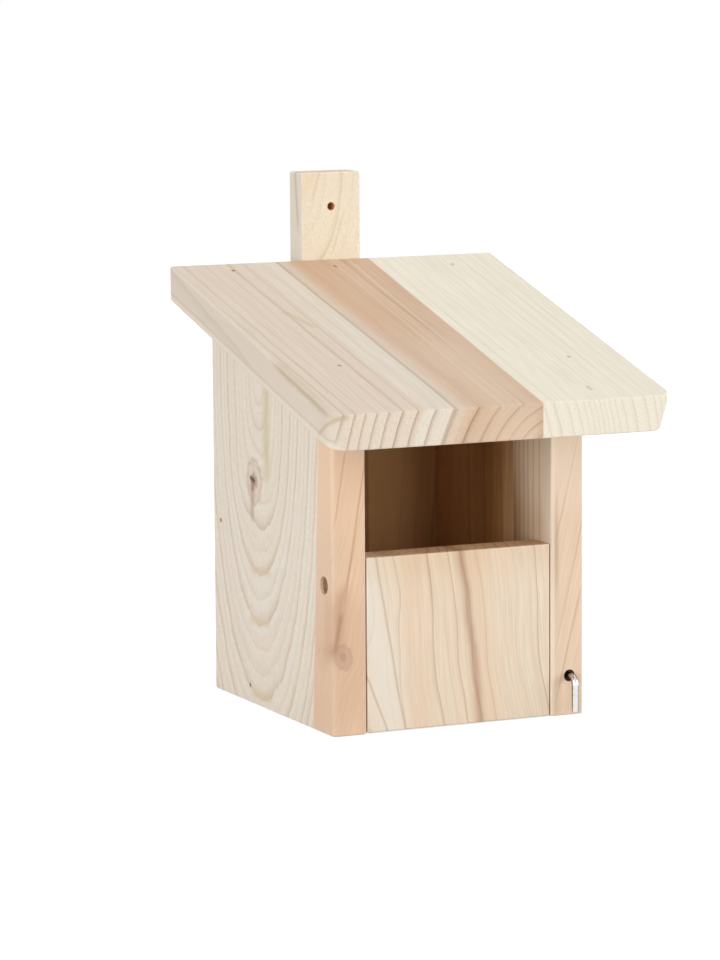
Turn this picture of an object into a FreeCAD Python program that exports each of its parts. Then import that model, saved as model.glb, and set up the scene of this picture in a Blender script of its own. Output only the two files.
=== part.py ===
"""Open-fronted bird nest box of edge-glued softwood boards, in millimetres.

The frame: +X to the right, +Y to the back, +Z up. The origin is the middle of the
body's footprint, on the plane that the box stands on.
"""
import FreeCAD
import Part
import Sketcher
import math
import os

# Driving sizes: name, value in millimetres or degrees, what it measures
SIZES = [
    ("body_width", 154, "outer width over the two side walls"),
    ("body_depth", 166, "front face to back face of the side walls"),
    ("board", 20, "thickness of walls, floor and front panel"),
    ("back_height", 228, "height of the roof's underside at the back face"),
    ("roof_pitch", 15.7, "fall of the roof to the front, degrees"),
    ("roof_board", 19, "thickness of the roof, square to its slope"),
    ("roof_width", 205, "roof across the slope"),
    ("roof_overhang", 57.5, "roof in front of the front face"),
    ("roof_corner", 9, "rounding of the roof's front corners in plan"),
    ("roof_joint", 22.5, "glue line of the roof, right of the middle"),
    ("roof_undercut", 4, "how far the right edge of the roof leans in at its underside"),
    ("roof_undercut_height", 13, "how far up that edge the lean reaches"),
    ("left_joint_foot", 27, "width of the left wall's front stave at the foot"),
    ("left_joint_head", 16, "width of the left wall's front stave at the roof"),
    ("right_joint", 46, "width of the right wall's front stave"),
    ("back_joint", 13, "glue line of the back wall, right of the middle"),
    ("panel_height", 98, "top edge of the front panel above the foot"),
    ("panel_side_gap", 0.8, "front panel to each side wall"),
    ("panel_foot_gap", 0.5, "lower edge of the front panel above the foot"),
    ("panel_back_gap", 0.8, "front panel to the floor board"),
    ("pivot_setback", 11.2, "pivot axis behind the front face"),
    ("pivot_drop", 15.3, "pivot axis below the panel's top edge"),
    ("dowel", 10, "diameter of the pivot dowels"),
    ("dowel_recess", 1.5, "dowel end inside the wall's outer face"),
    ("dowel_reach", 22, "dowel inside the panel"),
    ("dowel_play", 0.1, "radial play of a dowel in the panel"),
    ("dowel_end_gap", 1, "dowel end to the bottom of its hole"),
    ("drain_hole", 6, "diameter of the floor's drain holes"),
    ("drain_inset", 18, "drain holes from the floor's edges"),
    ("batten_width", 37.4, "hanging batten across"),
    ("batten_board", 17.5, "thickness of the hanging batten"),
    ("batten_top", 298.5, "top end of the batten above the foot"),
    ("batten_foot", 16, "lower end of the batten above the foot"),
    ("batten_shift", -0.8, "batten's middle right of the box's middle"),
    ("batten_corner", 1.6, "rounding of the batten's top corners"),
    ("batten_hole", 4.5, "diameter of the hanging hole"),
    ("batten_hole_drop", 20, "hanging hole below the batten's top end"),
    ("nail", 1.8, "diameter of a brad's shank"),
    ("nail_head", 2.8, "diameter of a brad's head"),
    ("nail_head_depth", 1, "thickness of a brad's head"),
    ("nail_sink", 0.8, "brad's head below the surface"),
    ("nail_length", 40, "length of the roof and wall brads"),
    ("batten_nail_length", 32, "length of the batten's brads"),
    ("roof_nail_front", 8.5, "front roof brads behind the front face"),
    ("roof_nail_back", 11.5, "rear roof brads in front of the back face"),
    ("roof_nail_left", 9, "left roof brads from the left wall's outer face"),
    ("roof_nail_right", 7, "right roof brads from the right wall's outer face"),
    ("roof_nail_skew", 5, "right roof brads nearer the front than the left ones"),
    ("roof_nail_middle", 3.6, "middle rear roof brad, left of the middle"),
    ("wall_nail_height", 100, "brad from a side wall into the back wall, above the foot"),
    ("wall_floor_nail", 115, "brad from a side wall into the floor, behind the front face"),
    ("floor_nail_spread", 25, "brads through the back wall into the floor, from the middle"),
    ("batten_nail_low", 60, "lowest brad of the batten above the foot"),
    ("batten_nail_pitch", 66, "height between the batten's brads"),
    ("latch_wire", 4, "diameter of the hook's wire"),
    ("latch_inset", 8.4, "hook's shank from the right wall's outer face"),
    ("latch_height", 22.4, "hook's shank above the foot"),
    ("latch_standoff", 7.2, "middle of the hook's arm in front of the front face"),
    ("latch_arm", 19.6, "middle of the shank to the arm's tip"),
    ("latch_bend", 4.5, "radius of the bend at the wire's middle"),
    ("latch_depth", 28, "shank inside the wall"),
    ("latch_tip", 0.5, "chamfer on the wire's cut ends"),
    ("latch_play", 0.1, "radial play of the shank in its hole"),
    ("latch_mouth", 6.4, "diameter of the worn mouth of the shank's hole"),
    ("latch_mouth_depth", 2.5, "depth of that mouth"),
    ("edge_ease", 0.9, "rounding of the boards' edges"),
    ("front_ease", 2.6, "rounding of the left wall's outer front edge"),
]

doc = FreeCAD.newDocument("nest_box")
sheet = doc.addObject("Spreadsheet::Sheet", "Size")
for row, (alias, value, note) in enumerate(SIZES, start=1):
    sheet.set(f"A{row}", alias)
    sheet.set(f"B{row}", str(value))
    sheet.set(f"C{row}", note)
    sheet.setAlias(f"B{row}", alias)
doc.recompute()

# Places that several pieces share, as formulas of the sheet
FRONT = "(-Size.body_depth / 2)"
BACK = "(Size.body_depth / 2)"
LEFT = "(-Size.body_width / 2)"
RIGHT = "(Size.body_width / 2)"
INNER_LEFT = f"({LEFT} + Size.board)"
INNER_RIGHT = f"({RIGHT} - Size.board)"
INNER_BACK = f"({BACK} - Size.board)"
ROOF_FRONT = f"({FRONT} - Size.roof_overhang)"
ROOF_LEFT = "(-Size.roof_width / 2)"
ROOF_RIGHT = "(Size.roof_width / 2)"
SLOPE = "tan(Size.roof_pitch * 1 deg)"
ROOF_RISE = "(Size.roof_board / cos(Size.roof_pitch * 1 deg))"
MID_BOARD = "(Size.board / 2)"
FLOOR_FRONT = f"({FRONT} + Size.board + Size.panel_back_gap)"
PANEL_LEFT = f"({INNER_LEFT} + Size.panel_side_gap)"
PANEL_RIGHT = f"({INNER_RIGHT} - Size.panel_side_gap)"
PIVOT_DEPTH = f"({FRONT} + Size.pivot_setback)"
PIVOT_HEIGHT = "(Size.panel_height - Size.pivot_drop)"
BATTEN_BACK = f"({BACK} + Size.batten_board)"
LATCH_ACROSS = f"({RIGHT} - Size.latch_inset)"
SAME_PLACE = 1e-4


def roof_underside(depth):
    """Height of the roof's underside at a place from front to back."""
    return f"(Size.back_height - {SLOPE} * ({BACK} - {depth}))"


def number(formula):
    """Value of a formula of the sheet, in millimetres or degrees."""
    value = sheet.evalExpression(formula)
    return float(getattr(value, "Value", value))


def new_body(label):
    """An empty body for one piece of the box."""
    body = doc.addObject("PartDesign::Body", label)
    body.Label = label
    return body


def sketch_on(body, role, offset):
    """A sketch on one of the body's own planes, moved along the plane's normal."""
    plane = next(item for item in body.Origin.OriginFeatures if item.Role == role)
    sketch = body.newObject("Sketcher::SketchObject", "Sketch")
    sketch.AttachmentSupport = [(plane, "")]
    sketch.MapMode = "FlatFace"
    sketch.setExpression("AttachmentOffset.Base.z", offset)
    return sketch


def bind(sketch, kind, geometry, vertex, formula):
    """Tie one coordinate of a sketch's point to a formula of the sheet."""
    index = sketch.addConstraint(Sketcher.Constraint(kind, -1, 1, geometry, vertex, number(formula)))
    sketch.setExpression(f"Constraints[{index}]", formula)


def outline(sketch, corners):
    """Closed outline through corners whose coordinates are formulas."""
    points = [FreeCAD.Vector(number(across), number(up), 0) for across, up in corners]
    count = len(points)
    for index in range(count):
        sketch.addGeometry(Part.LineSegment(points[index], points[(index + 1) % count]), False)
    for index in range(count):
        sketch.addConstraint(Sketcher.Constraint("Coincident", index, 2, (index + 1) % count, 1))
    for index, (across, up) in enumerate(corners):
        bind(sketch, "DistanceX", index, 1, across)
        bind(sketch, "DistanceY", index, 1, up)


def circles(sketch, centres, diameter):
    """Circles of one diameter at centres whose coordinates are formulas."""
    for index, (across, up) in enumerate(centres):
        centre = FreeCAD.Vector(number(across), number(up), 0)
        sketch.addGeometry(Part.Circle(centre, FreeCAD.Vector(0, 0, 1), number(diameter) / 2), False)
        bind(sketch, "DistanceX", index, 3, across)
        bind(sketch, "DistanceY", index, 3, up)
        size = sketch.addConstraint(Sketcher.Constraint("Diameter", index, number(diameter)))
        sketch.setExpression(f"Constraints[{size}]", diameter)


def pad(body, sketch, length):
    """Thicken a sketch along its plane's normal."""
    feature = body.newObject("PartDesign::Pad", "Pad")
    feature.Profile = sketch
    feature.setExpression("Length", length)
    doc.recompute()
    return feature


def board(label, role, corners, start, thickness):
    """A piece cut from a board: its outline, and where its thickness starts."""
    body = new_body(label)
    sketch = sketch_on(body, role, start)
    outline(sketch, corners)
    pad(body, sketch, thickness)
    return body


def bore(body, role, centres, start, depth, diameter):
    """Round holes from a plane along its normal, which have to take wood away."""
    before = body.Shape.Volume
    sketch = sketch_on(body, role, start)
    circles(sketch, centres, diameter)
    feature = body.newObject("PartDesign::Pocket", "Bore")
    feature.Profile = sketch
    feature.Reversed = True
    feature.setExpression("Length", depth)
    doc.recompute()
    if body.Shape.Volume >= before:
        raise RuntimeError(f"a hole in {body.Label} takes nothing away")


def edges_where(body, wanted):
    """Names of a body's edges for which a test of the edge holds."""
    return [f"Edge{index}" for index, edge in enumerate(body.Shape.Edges, start=1) if wanted(edge)]


def round_edges(body, wanted, radius):
    """Round the edges of a body for which a test holds."""
    base = body.Tip
    names = edges_where(body, wanted)
    feature = body.newObject("PartDesign::Fillet", "Round")
    feature.Base = (base, names)
    feature.setExpression("Radius", radius)
    doc.recompute()


def lies_at(edge, axis, place):
    """Whether all of an edge lies at one coordinate."""
    low = getattr(edge.BoundBox, axis + "Min")
    high = getattr(edge.BoundBox, axis + "Max")
    return abs(low - place) < SAME_PLACE and abs(high - place) < SAME_PLACE


def ease(body, glued):
    """Break a board's edges, but not those of a face that is glued to the next stave."""
    def free(edge):
        return not any(glue(edge) for glue in glued)
    round_edges(body, free, "Size.edge_ease")


def ease_faces(body, faces, glued):
    """Break the edges round some of a board's faces, but not those that are glued."""
    round_edges(body, lambda edge: any(face(edge) for face in faces) and not glued(edge), "Size.edge_ease")


def on_plane(axis, formula):
    """Test for edges on a plane square to an axis."""
    place = number(formula)
    return lambda edge: lies_at(edge, axis, place)


def corner_edge(across, depth, lean):
    """Test for the edge up one corner in plan, which may lean in from the side by a given length."""
    side = number(across)
    spare = number(lean) + SAME_PLACE
    at_depth = on_plane("Y", depth)

    def wanted(edge):
        near = all(abs(v.X - side) < spare for v in edge.Vertexes)
        return near and at_depth(edge) and edge.BoundBox.ZLength > spare
    return wanted


# Roof of two staves, plumb at both ends, with rounded front corners
ROOF_PROFILE = [
    (ROOF_FRONT, roof_underside(ROOF_FRONT)),
    (BACK, roof_underside(BACK)),
    (BACK, f"({roof_underside(BACK)} + {ROOF_RISE})"),
    (ROOF_FRONT, f"({roof_underside(ROOF_FRONT)} + {ROOF_RISE})"),
]


def roof_stave(label, start, end):
    """One stave of the roof between two places across it."""
    return board(label, "YZ_Plane", ROOF_PROFILE, start, f"{end} - {start}")


def on_slope(lift):
    """Test for edges in the plane of the roof's underside, raised by a formula."""
    low_front = number(roof_underside(ROOF_FRONT)) + number(lift)
    rise = number(SLOPE)
    depth = number(ROOF_FRONT)
    return lambda edge: all(abs(v.Z - low_front - rise * (v.Y - depth)) < SAME_PLACE for v in edge.Vertexes)


def undercut(body):
    """Lean the roof's right edge in towards its underside."""
    at_side = on_plane("X", ROOF_RIGHT)
    under = on_slope("0")
    base = body.Tip
    names = edges_where(body, lambda edge: at_side(edge) and under(edge))
    feature = body.newObject("PartDesign::Chamfer", "Undercut")
    feature.Base = (base, names)
    feature.ChamferType = "Two distances"
    feature.setExpression("Size", "Size.roof_undercut")
    feature.setExpression("Size2", "Size.roof_undercut_height")
    doc.recompute()


roof_left = roof_stave("roof_left_stave", ROOF_LEFT, "Size.roof_joint")
round_edges(roof_left, corner_edge(ROOF_LEFT, ROOF_FRONT, "0"), "Size.roof_corner")
ease(roof_left, [on_plane("X", "Size.roof_joint")])
roof_right = roof_stave("roof_right_stave", "Size.roof_joint", ROOF_RIGHT)
undercut(roof_right)
round_edges(roof_right, corner_edge(ROOF_RIGHT, ROOF_FRONT, "Size.roof_undercut"), "Size.roof_corner")
ease_faces(roof_right, [on_slope("0"), on_slope(ROOF_RISE)], on_plane("X", "Size.roof_joint"))

# Side walls of two staves each, cut to the roof's slope at the top
LEFT_FOOT = f"({FRONT} + Size.left_joint_foot)"
LEFT_HEAD = f"({FRONT} + Size.left_joint_head)"
RIGHT_GLUE = f"({FRONT} + Size.right_joint)"


def wall_stave(label, start, front_foot, front_head, back_foot, back_head):
    """One stave of a side wall between two lines from foot to roof."""
    corners = [
        (front_foot, "0"),
        (back_foot, "0"),
        (back_head, roof_underside(back_head)),
        (front_head, roof_underside(front_head)),
    ]
    return board(label, "YZ_Plane", corners, start, "Size.board")


def along_joint(foot, head):
    """Test for edges on a wall's glue face, which may lean."""
    foot_depth = number(foot)
    head_depth = number(head)
    head_height = number(roof_underside(head))

    def on_joint(edge):
        lean = (head_depth - foot_depth) / head_height
        return all(abs(v.Y - foot_depth - lean * v.Z) < SAME_PLACE for v in edge.Vertexes)
    return on_joint


left_front = wall_stave("left_wall_front_stave", LEFT, FRONT, FRONT, LEFT_FOOT, LEFT_HEAD)
round_edges(left_front, corner_edge(LEFT, FRONT, "0"), "Size.front_ease")
ease(left_front, [along_joint(LEFT_FOOT, LEFT_HEAD)])
left_rear = wall_stave("left_wall_rear_stave", LEFT, LEFT_FOOT, LEFT_HEAD, BACK, BACK)
ease(left_rear, [along_joint(LEFT_FOOT, LEFT_HEAD)])
right_front = wall_stave("right_wall_front_stave", INNER_RIGHT, FRONT, FRONT, RIGHT_GLUE, RIGHT_GLUE)
ease(right_front, [on_plane("Y", RIGHT_GLUE)])
right_rear = wall_stave("right_wall_rear_stave", INNER_RIGHT, RIGHT_GLUE, RIGHT_GLUE, BACK, BACK)
ease(right_rear, [on_plane("Y", RIGHT_GLUE)])

# Back wall of two staves between the side walls, bevelled under the roof
BACK_PROFILE = [
    (INNER_BACK, "0"),
    (BACK, "0"),
    (BACK, roof_underside(BACK)),
    (INNER_BACK, roof_underside(INNER_BACK)),
]
back_left = board("back_wall_left_stave", "YZ_Plane", BACK_PROFILE, INNER_LEFT,
                  f"Size.back_joint - {INNER_LEFT}")
ease(back_left, [on_plane("X", "Size.back_joint")])
back_right = board("back_wall_right_stave", "YZ_Plane", BACK_PROFILE, "Size.back_joint",
                   f"{INNER_RIGHT} - Size.back_joint")
ease(back_right, [on_plane("X", "Size.back_joint")])

# Floor board between the walls, with a drain hole near each corner
floor = board("floor_board", "XY_Plane", [
    (INNER_LEFT, FLOOR_FRONT),
    (INNER_RIGHT, FLOOR_FRONT),
    (INNER_RIGHT, INNER_BACK),
    (INNER_LEFT, INNER_BACK),
], "0", "Size.board")
ease(floor, [])
DRAIN_ACROSS = f"({INNER_RIGHT} - Size.drain_inset)"
DRAIN_FRONT = f"({FLOOR_FRONT} + Size.drain_inset)"
DRAIN_BACK = f"({INNER_BACK} - Size.drain_inset)"
DRAINS = [(f"({side} * {DRAIN_ACROSS})", depth) for side in (-1, 1) for depth in (DRAIN_FRONT, DRAIN_BACK)]
bore(floor, "XY_Plane", DRAINS, "0", "Size.board", "Size.drain_hole")

# Front panel, which swings on two dowels near its top edge
panel = board("front_panel", "YZ_Plane", [
    (FRONT, "Size.panel_foot_gap"),
    (f"({FRONT} + Size.board)", "Size.panel_foot_gap"),
    (f"({FRONT} + Size.board)", "Size.panel_height"),
    (FRONT, "Size.panel_height"),
], PANEL_LEFT, f"{PANEL_RIGHT} - {PANEL_LEFT}")
ease(panel, [])
PIVOT = [(PIVOT_DEPTH, PIVOT_HEIGHT)]
DOWEL_LENGTH = "(Size.board - Size.dowel_recess + Size.panel_side_gap + Size.dowel_reach)"
DOWEL_HOLE = "(Size.dowel_reach + Size.dowel_end_gap)"
DOWEL_BORE = "(Size.dowel + 2 * Size.dowel_play)"
bore(panel, "YZ_Plane", PIVOT, PANEL_LEFT, DOWEL_HOLE, DOWEL_BORE)
bore(panel, "YZ_Plane", PIVOT, f"{PANEL_RIGHT} - {DOWEL_HOLE}", DOWEL_HOLE, DOWEL_BORE)


def dowel(label, wall, wall_start, start):
    """A pivot dowel glued in a side wall, and its hole there."""
    bore(wall, "YZ_Plane", PIVOT, wall_start, "Size.board", "Size.dowel")
    body = new_body(label)
    sketch = sketch_on(body, "YZ_Plane", start)
    circles(sketch, PIVOT, "Size.dowel")
    pad(body, sketch, DOWEL_LENGTH)
    return body


dowel_left = dowel("pivot_dowel_left", left_front, LEFT, f"{LEFT} + Size.dowel_recess")
dowel_right = dowel("pivot_dowel_right", right_front, INNER_RIGHT,
                    f"{RIGHT} - Size.dowel_recess - {DOWEL_LENGTH}")

# Hanging batten on the back wall, with its hanging hole
BATTEN_LEFT = "(Size.batten_shift - Size.batten_width / 2)"
BATTEN_RIGHT = "(Size.batten_shift + Size.batten_width / 2)"
batten = board("hanging_batten", "XZ_Plane", [
    (BATTEN_LEFT, "Size.batten_foot"),
    (BATTEN_RIGHT, "Size.batten_foot"),
    (BATTEN_RIGHT, "Size.batten_top"),
    (BATTEN_LEFT, "Size.batten_top"),
], f"-{BATTEN_BACK}", "Size.batten_board")
batten_end = on_plane("Z", "Size.batten_top")
for batten_side in (BATTEN_LEFT, BATTEN_RIGHT):
    at_side = on_plane("X", batten_side)
    round_edges(batten, lambda edge: batten_end(edge) and at_side(edge), "Size.batten_corner")
ease(batten, [])
HANGING_HOLE = [("Size.batten_shift", "(Size.batten_top - Size.batten_hole_drop)")]
bore(batten, "XZ_Plane", HANGING_HOLE, f"-{BATTEN_BACK}", "Size.batten_board", "Size.batten_hole")

# Brads: each group is driven one way, and leaves its holes in the boards
def brads(label, role, outer, inner, head_top, way, length):
    """A group of sunk brads, with the holes that they make.

    outer and inner map each board to the brads in it: outer boards take the heads.
    way is 1 where the brads are driven along the plane's normal, and -1 where against it.
    """
    head_under = f"({head_top} + {way} * Size.nail_head_depth)"
    tip = f"({head_top} + {way} * {length})"
    outside = f"({head_top} - {way} * Size.board)"
    shank = span(head_under, tip, way)
    head = span(head_top, head_under, way)
    mouth = span(outside, head_under, way)
    for wood, centres in outer.items():
        bore(wood, role, centres, mouth[0], mouth[1], "Size.nail_head")
        bore(wood, role, centres, shank[0], shank[1], "Size.nail")
    for wood, centres in inner.items():
        bore(wood, role, centres, shank[0], shank[1], "Size.nail")
    every_centre = [centre for centres in outer.values() for centre in centres]
    body = new_body(label)
    body.AllowCompound = True
    for (start, depth), diameter in ((shank, "Size.nail"), (head, "Size.nail_head")):
        sketch = sketch_on(body, role, start)
        circles(sketch, every_centre, diameter)
        pad(body, sketch, depth)


def span(first, last, way):
    """Start and length, along a plane's normal, of a stretch driven one way or the other."""
    if way > 0:
        return first, f"{last} - {first}"
    return last, f"{first} - {last}"


def roof_head(depth):
    """Height of a sunk brad's head in the roof."""
    return f"({roof_underside(depth)} + {ROOF_RISE} - Size.nail_sink)"


OVER_LEFT_WALL = f"({LEFT} + Size.roof_nail_left)"
OVER_RIGHT_WALL = f"({RIGHT} - Size.roof_nail_right)"
OVER_BACK_WALL = "(-Size.roof_nail_middle)"
FRONT_ROW = f"({FRONT} + Size.roof_nail_front)"
BACK_ROW = f"({BACK} - Size.roof_nail_back)"
FRONT_RIGHT = f"({FRONT_ROW} - Size.roof_nail_skew)"
BACK_RIGHT = f"({BACK_ROW} - Size.roof_nail_skew)"
brads("roof_nails_front", "XY_Plane",
      {roof_left: [(OVER_LEFT_WALL, FRONT_ROW)], roof_right: [(OVER_RIGHT_WALL, FRONT_RIGHT)]},
      {left_front: [(OVER_LEFT_WALL, FRONT_ROW)], right_front: [(OVER_RIGHT_WALL, FRONT_RIGHT)]},
      roof_head(FRONT_RIGHT), -1, "Size.nail_length")
brads("roof_nails_back", "XY_Plane",
      {roof_left: [(OVER_LEFT_WALL, BACK_ROW), (OVER_BACK_WALL, BACK_ROW)],
       roof_right: [(OVER_RIGHT_WALL, BACK_RIGHT)]},
      {left_rear: [(OVER_LEFT_WALL, BACK_ROW)], back_left: [(OVER_BACK_WALL, BACK_ROW)],
       right_rear: [(OVER_RIGHT_WALL, BACK_RIGHT)]},
      roof_head(BACK_RIGHT), -1, "Size.nail_length")

INTO_BACK = f"({BACK} - {MID_BOARD})"
BACK_BRADS = [(INTO_BACK, "Size.wall_nail_height")]
FLOOR_BRADS = [(f"({FRONT} + Size.wall_floor_nail)", MID_BOARD)]
brads("left_wall_nails", "YZ_Plane",
      {left_rear: BACK_BRADS + FLOOR_BRADS},
      {back_left: BACK_BRADS, floor: FLOOR_BRADS},
      f"({LEFT} + Size.nail_sink)", 1, "Size.nail_length")
brads("right_wall_nails", "YZ_Plane",
      {right_rear: BACK_BRADS + FLOOR_BRADS},
      {back_right: BACK_BRADS, floor: FLOOR_BRADS},
      f"({RIGHT} - Size.nail_sink)", -1, "Size.nail_length")
LEFT_FLOOR_BRAD = ("-Size.floor_nail_spread", MID_BOARD)
RIGHT_FLOOR_BRAD = ("Size.floor_nail_spread", MID_BOARD)
brads("floor_nails", "XZ_Plane",
      {back_left: [LEFT_FLOOR_BRAD], back_right: [RIGHT_FLOOR_BRAD]},
      {floor: [LEFT_FLOOR_BRAD, RIGHT_FLOOR_BRAD]},
      f"(-{BACK} + Size.nail_sink)", 1, "Size.nail_length")
BATTEN_BRADS = [("Size.batten_shift", f"(Size.batten_nail_low + {step} * Size.batten_nail_pitch)")
                for step in range(3)]
brads("batten_nails", "XZ_Plane",
      {batten: BATTEN_BRADS},
      {back_left: BATTEN_BRADS},
      f"(-{BATTEN_BACK} + Size.nail_sink)", 1, "Size.batten_nail_length")

# Screw hook of bent wire: its shank turns in the right wall, its arm hangs clear of the panel
LATCH_AXIS = [(LATCH_ACROSS, "Size.latch_height")]
LATCH_BORE = "(Size.latch_wire + 2 * Size.latch_play)"
LATCH_END = f"({FRONT} + Size.latch_depth)"
LATCH_ARM_DEPTH = f"({FRONT} - Size.latch_standoff)"
bore(right_front, "XZ_Plane", LATCH_AXIS, f"-{LATCH_END}", "Size.latch_depth", LATCH_BORE)
bore(right_front, "XZ_Plane", LATCH_AXIS, f"-({FRONT} + Size.latch_mouth_depth)",
     "Size.latch_mouth_depth", "Size.latch_mouth")


def wire_path(sketch, corners, bend):
    """Two straight runs joined by a quarter turn, from the shank's end to the arm's tip."""
    points = [FreeCAD.Vector(number(across), number(up), 0) for across, up in corners]
    radius = number(bend)
    middle = FreeCAD.Vector(points[1].x, points[2].y, 0)
    turn = Part.Circle(middle, FreeCAD.Vector(0, 0, 1), radius)
    sketch.addGeometry(Part.LineSegment(points[0], points[1]), False)
    sketch.addGeometry(Part.ArcOfCircle(turn, math.pi / 2, math.pi), False)
    sketch.addGeometry(Part.LineSegment(points[2], points[3]), False)
    sketch.addConstraint(Sketcher.Constraint("Coincident", 0, 2, 1, 1))
    sketch.addConstraint(Sketcher.Constraint("Coincident", 1, 2, 2, 1))
    for geometry, vertex, (across, up) in zip((0, 0, 2, 2), (1, 2, 1, 2), corners):
        bind(sketch, "DistanceX", geometry, vertex, across)
        bind(sketch, "DistanceY", geometry, vertex, up)
    size = sketch.addConstraint(Sketcher.Constraint("Radius", 1, radius))
    sketch.setExpression(f"Constraints[{size}]", bend)


hook = new_body("latch_hook")
wire_section = sketch_on(hook, "XZ_Plane", f"-{LATCH_END}")
circles(wire_section, LATCH_AXIS, "Size.latch_wire")
wire_run = sketch_on(hook, "YZ_Plane", LATCH_ACROSS)
wire_path(wire_run, [
    (LATCH_END, "Size.latch_height"),
    (f"({LATCH_ARM_DEPTH} + Size.latch_bend)", "Size.latch_height"),
    (LATCH_ARM_DEPTH, "(Size.latch_height - Size.latch_bend)"),
    (LATCH_ARM_DEPTH, "(Size.latch_height - Size.latch_arm)"),
], "Size.latch_bend")
wire = hook.newObject("PartDesign::AdditivePipe", "Wire")
wire.Profile = wire_section
wire.Spine = (wire_run, [])
doc.recompute()
shank_end = on_plane("Y", LATCH_END)
arm_tip = on_plane("Z", "(Size.latch_height - Size.latch_arm)")
cut_ends = edges_where(hook, lambda edge: shank_end(edge) or arm_tip(edge))
trim = hook.newObject("PartDesign::Chamfer", "CutEnds")
trim.Base = (wire, cut_ends)
trim.setExpression("Size", "Size.latch_tip")
doc.recompute()

# Every object has to be sound before anything is written
for item in doc.Objects:
    if "Invalid" in item.State or "Error" in item.State:
        raise RuntimeError(f"{item.Label} failed: {item.State}")
pieces = [item for item in doc.Objects if item.TypeId == "PartDesign::Body"]
for piece in pieces:
    if piece.Shape.isNull() or not piece.Shape.isValid():
        raise RuntimeError(f"{piece.Label} has no sound solid")
os.makedirs("parts", exist_ok=True)
for piece in pieces:
    piece.Shape.exportStep(os.path.join("parts", piece.Label + ".step"))
    print(piece.Label, len(piece.Shape.Solids), round(piece.Shape.Volume, 1))
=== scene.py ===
"""Looks of an open-fronted wooden nest box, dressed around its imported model.

Lengths are metres in the box's own frame, unless a name or a docstring says millimetres.
"""
import logging
import math
from dataclasses import dataclass, field, replace
from enum import Enum
from typing import Any, Optional, Sequence, Union

import bmesh
import bpy
from mathutils import Euler, Matrix, Vector


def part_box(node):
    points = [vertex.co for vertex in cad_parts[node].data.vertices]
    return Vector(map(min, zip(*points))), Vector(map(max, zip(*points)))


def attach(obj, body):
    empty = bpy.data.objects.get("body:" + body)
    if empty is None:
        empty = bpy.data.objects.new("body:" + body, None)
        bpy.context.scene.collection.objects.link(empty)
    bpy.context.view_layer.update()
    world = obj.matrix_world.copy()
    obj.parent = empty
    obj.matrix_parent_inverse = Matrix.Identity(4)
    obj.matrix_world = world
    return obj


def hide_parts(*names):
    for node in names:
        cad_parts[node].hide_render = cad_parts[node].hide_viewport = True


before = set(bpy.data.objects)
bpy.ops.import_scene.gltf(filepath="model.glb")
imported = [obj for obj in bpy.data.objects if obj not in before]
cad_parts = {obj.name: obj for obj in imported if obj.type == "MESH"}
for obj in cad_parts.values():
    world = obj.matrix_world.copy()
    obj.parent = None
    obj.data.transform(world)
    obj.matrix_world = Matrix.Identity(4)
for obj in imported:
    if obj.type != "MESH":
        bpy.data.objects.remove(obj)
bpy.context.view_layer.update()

Pair = tuple[float, float]
Triple = tuple[float, float, float]
Shade = tuple[float, float, float, float]
Socket = bpy.types.NodeSocket
Source = Union[Socket, float, Sequence[float]]
Sources = dict[Union[str, int], Source]

MM = 0.001
MICRON_DIGITS = 6
FULL_CIRCLE = 2.0 * math.pi
QUARTER_TURN = math.pi / 2.0
SMOOTH_ANGLE = math.radians(40.0)
ROUND_PROFILE = 0.5
SAME_MATERIAL = -1
QUAD_CORNERS = 4
WHITE = (1.0, 1.0, 1.0, 1.0)
NOWHERE = (0.0, 0.0, 0.0)

# Longer than any board, in millimetres
WHOLE = 900.0

# The painted shade that darkens the wood inside the box, where it lies in shadow, and how deep in
# millimetres it reaches
PAINTED_INSIDE_SHADE_TINT = (227, 196, 153)
PAINTED_INSIDE_SHADE_DEPTH = 7.0

# The curve between a screen's colours and linear ones
SCREEN_MAX = 255.0
SCREEN_GAMMA = 2.4
SCREEN_OFFSET = 0.055
SCREEN_TOE = 0.04045
SCREEN_TOE_SLOPE = 12.92

# What the growth rings tell a board's colour
RING_MASKS = ("Line", "Radius", "Fibre", "Cloud", "Streak", "Knot", "Knot Line", "Year", "Ring")

REPORTER = logging.getLogger("nest_box")


def linear(colour: Triple) -> Shade:
    """Turns a screen colour into the linear one that a shader takes.

    Args:
        colour: red, green and blue from 0 to 255.

    Returns:
        Linear red, green and blue with an alpha of one.
    """
    parts = []
    for value in colour:
        share = value / SCREEN_MAX
        low = share / SCREEN_TOE_SLOPE
        high = ((share + SCREEN_OFFSET) / (1.0 + SCREEN_OFFSET)) ** SCREEN_GAMMA
        parts.append(low if share <= SCREEN_TOE else high)
    return parts[0], parts[1], parts[2], 1.0


def degrees(turn: Triple) -> Euler:
    """Gives a turn in degrees as an Euler."""
    return Euler([math.radians(angle) for angle in turn])


def sockets(record: Any, *apart: str) -> dict[str, Source]:
    """Gives a record's values under the labels of a node group's inputs.

    Args:
        record: a dataclass whose fields are named as the inputs are.
        apart: fields that the group doesn't take.

    Returns:
        The values by label.
    """
    return {name.replace("_", " ").title(): value for name, value in vars(record).items()
            if name not in apart}


class Kind(Enum):
    """Socket types of a node group."""

    VALUE = "NodeSocketFloat"
    VECTOR = "NodeSocketVector"
    COLOUR = "NodeSocketColor"


Labels = dict[Kind, Sequence[str]]


class Axis(Enum):
    """Directions in a board's own frame."""

    SIDE = (1.0, 0.0, 0.0)
    BACK = (0.0, 1.0, 0.0)
    UP = (0.0, 0.0, 1.0)


class Blend(Enum):
    """How a mark, painted light and shade among them, meets the wood under it."""

    COVER = "MIX"
    DARKEN = "MULTIPLY"


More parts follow.
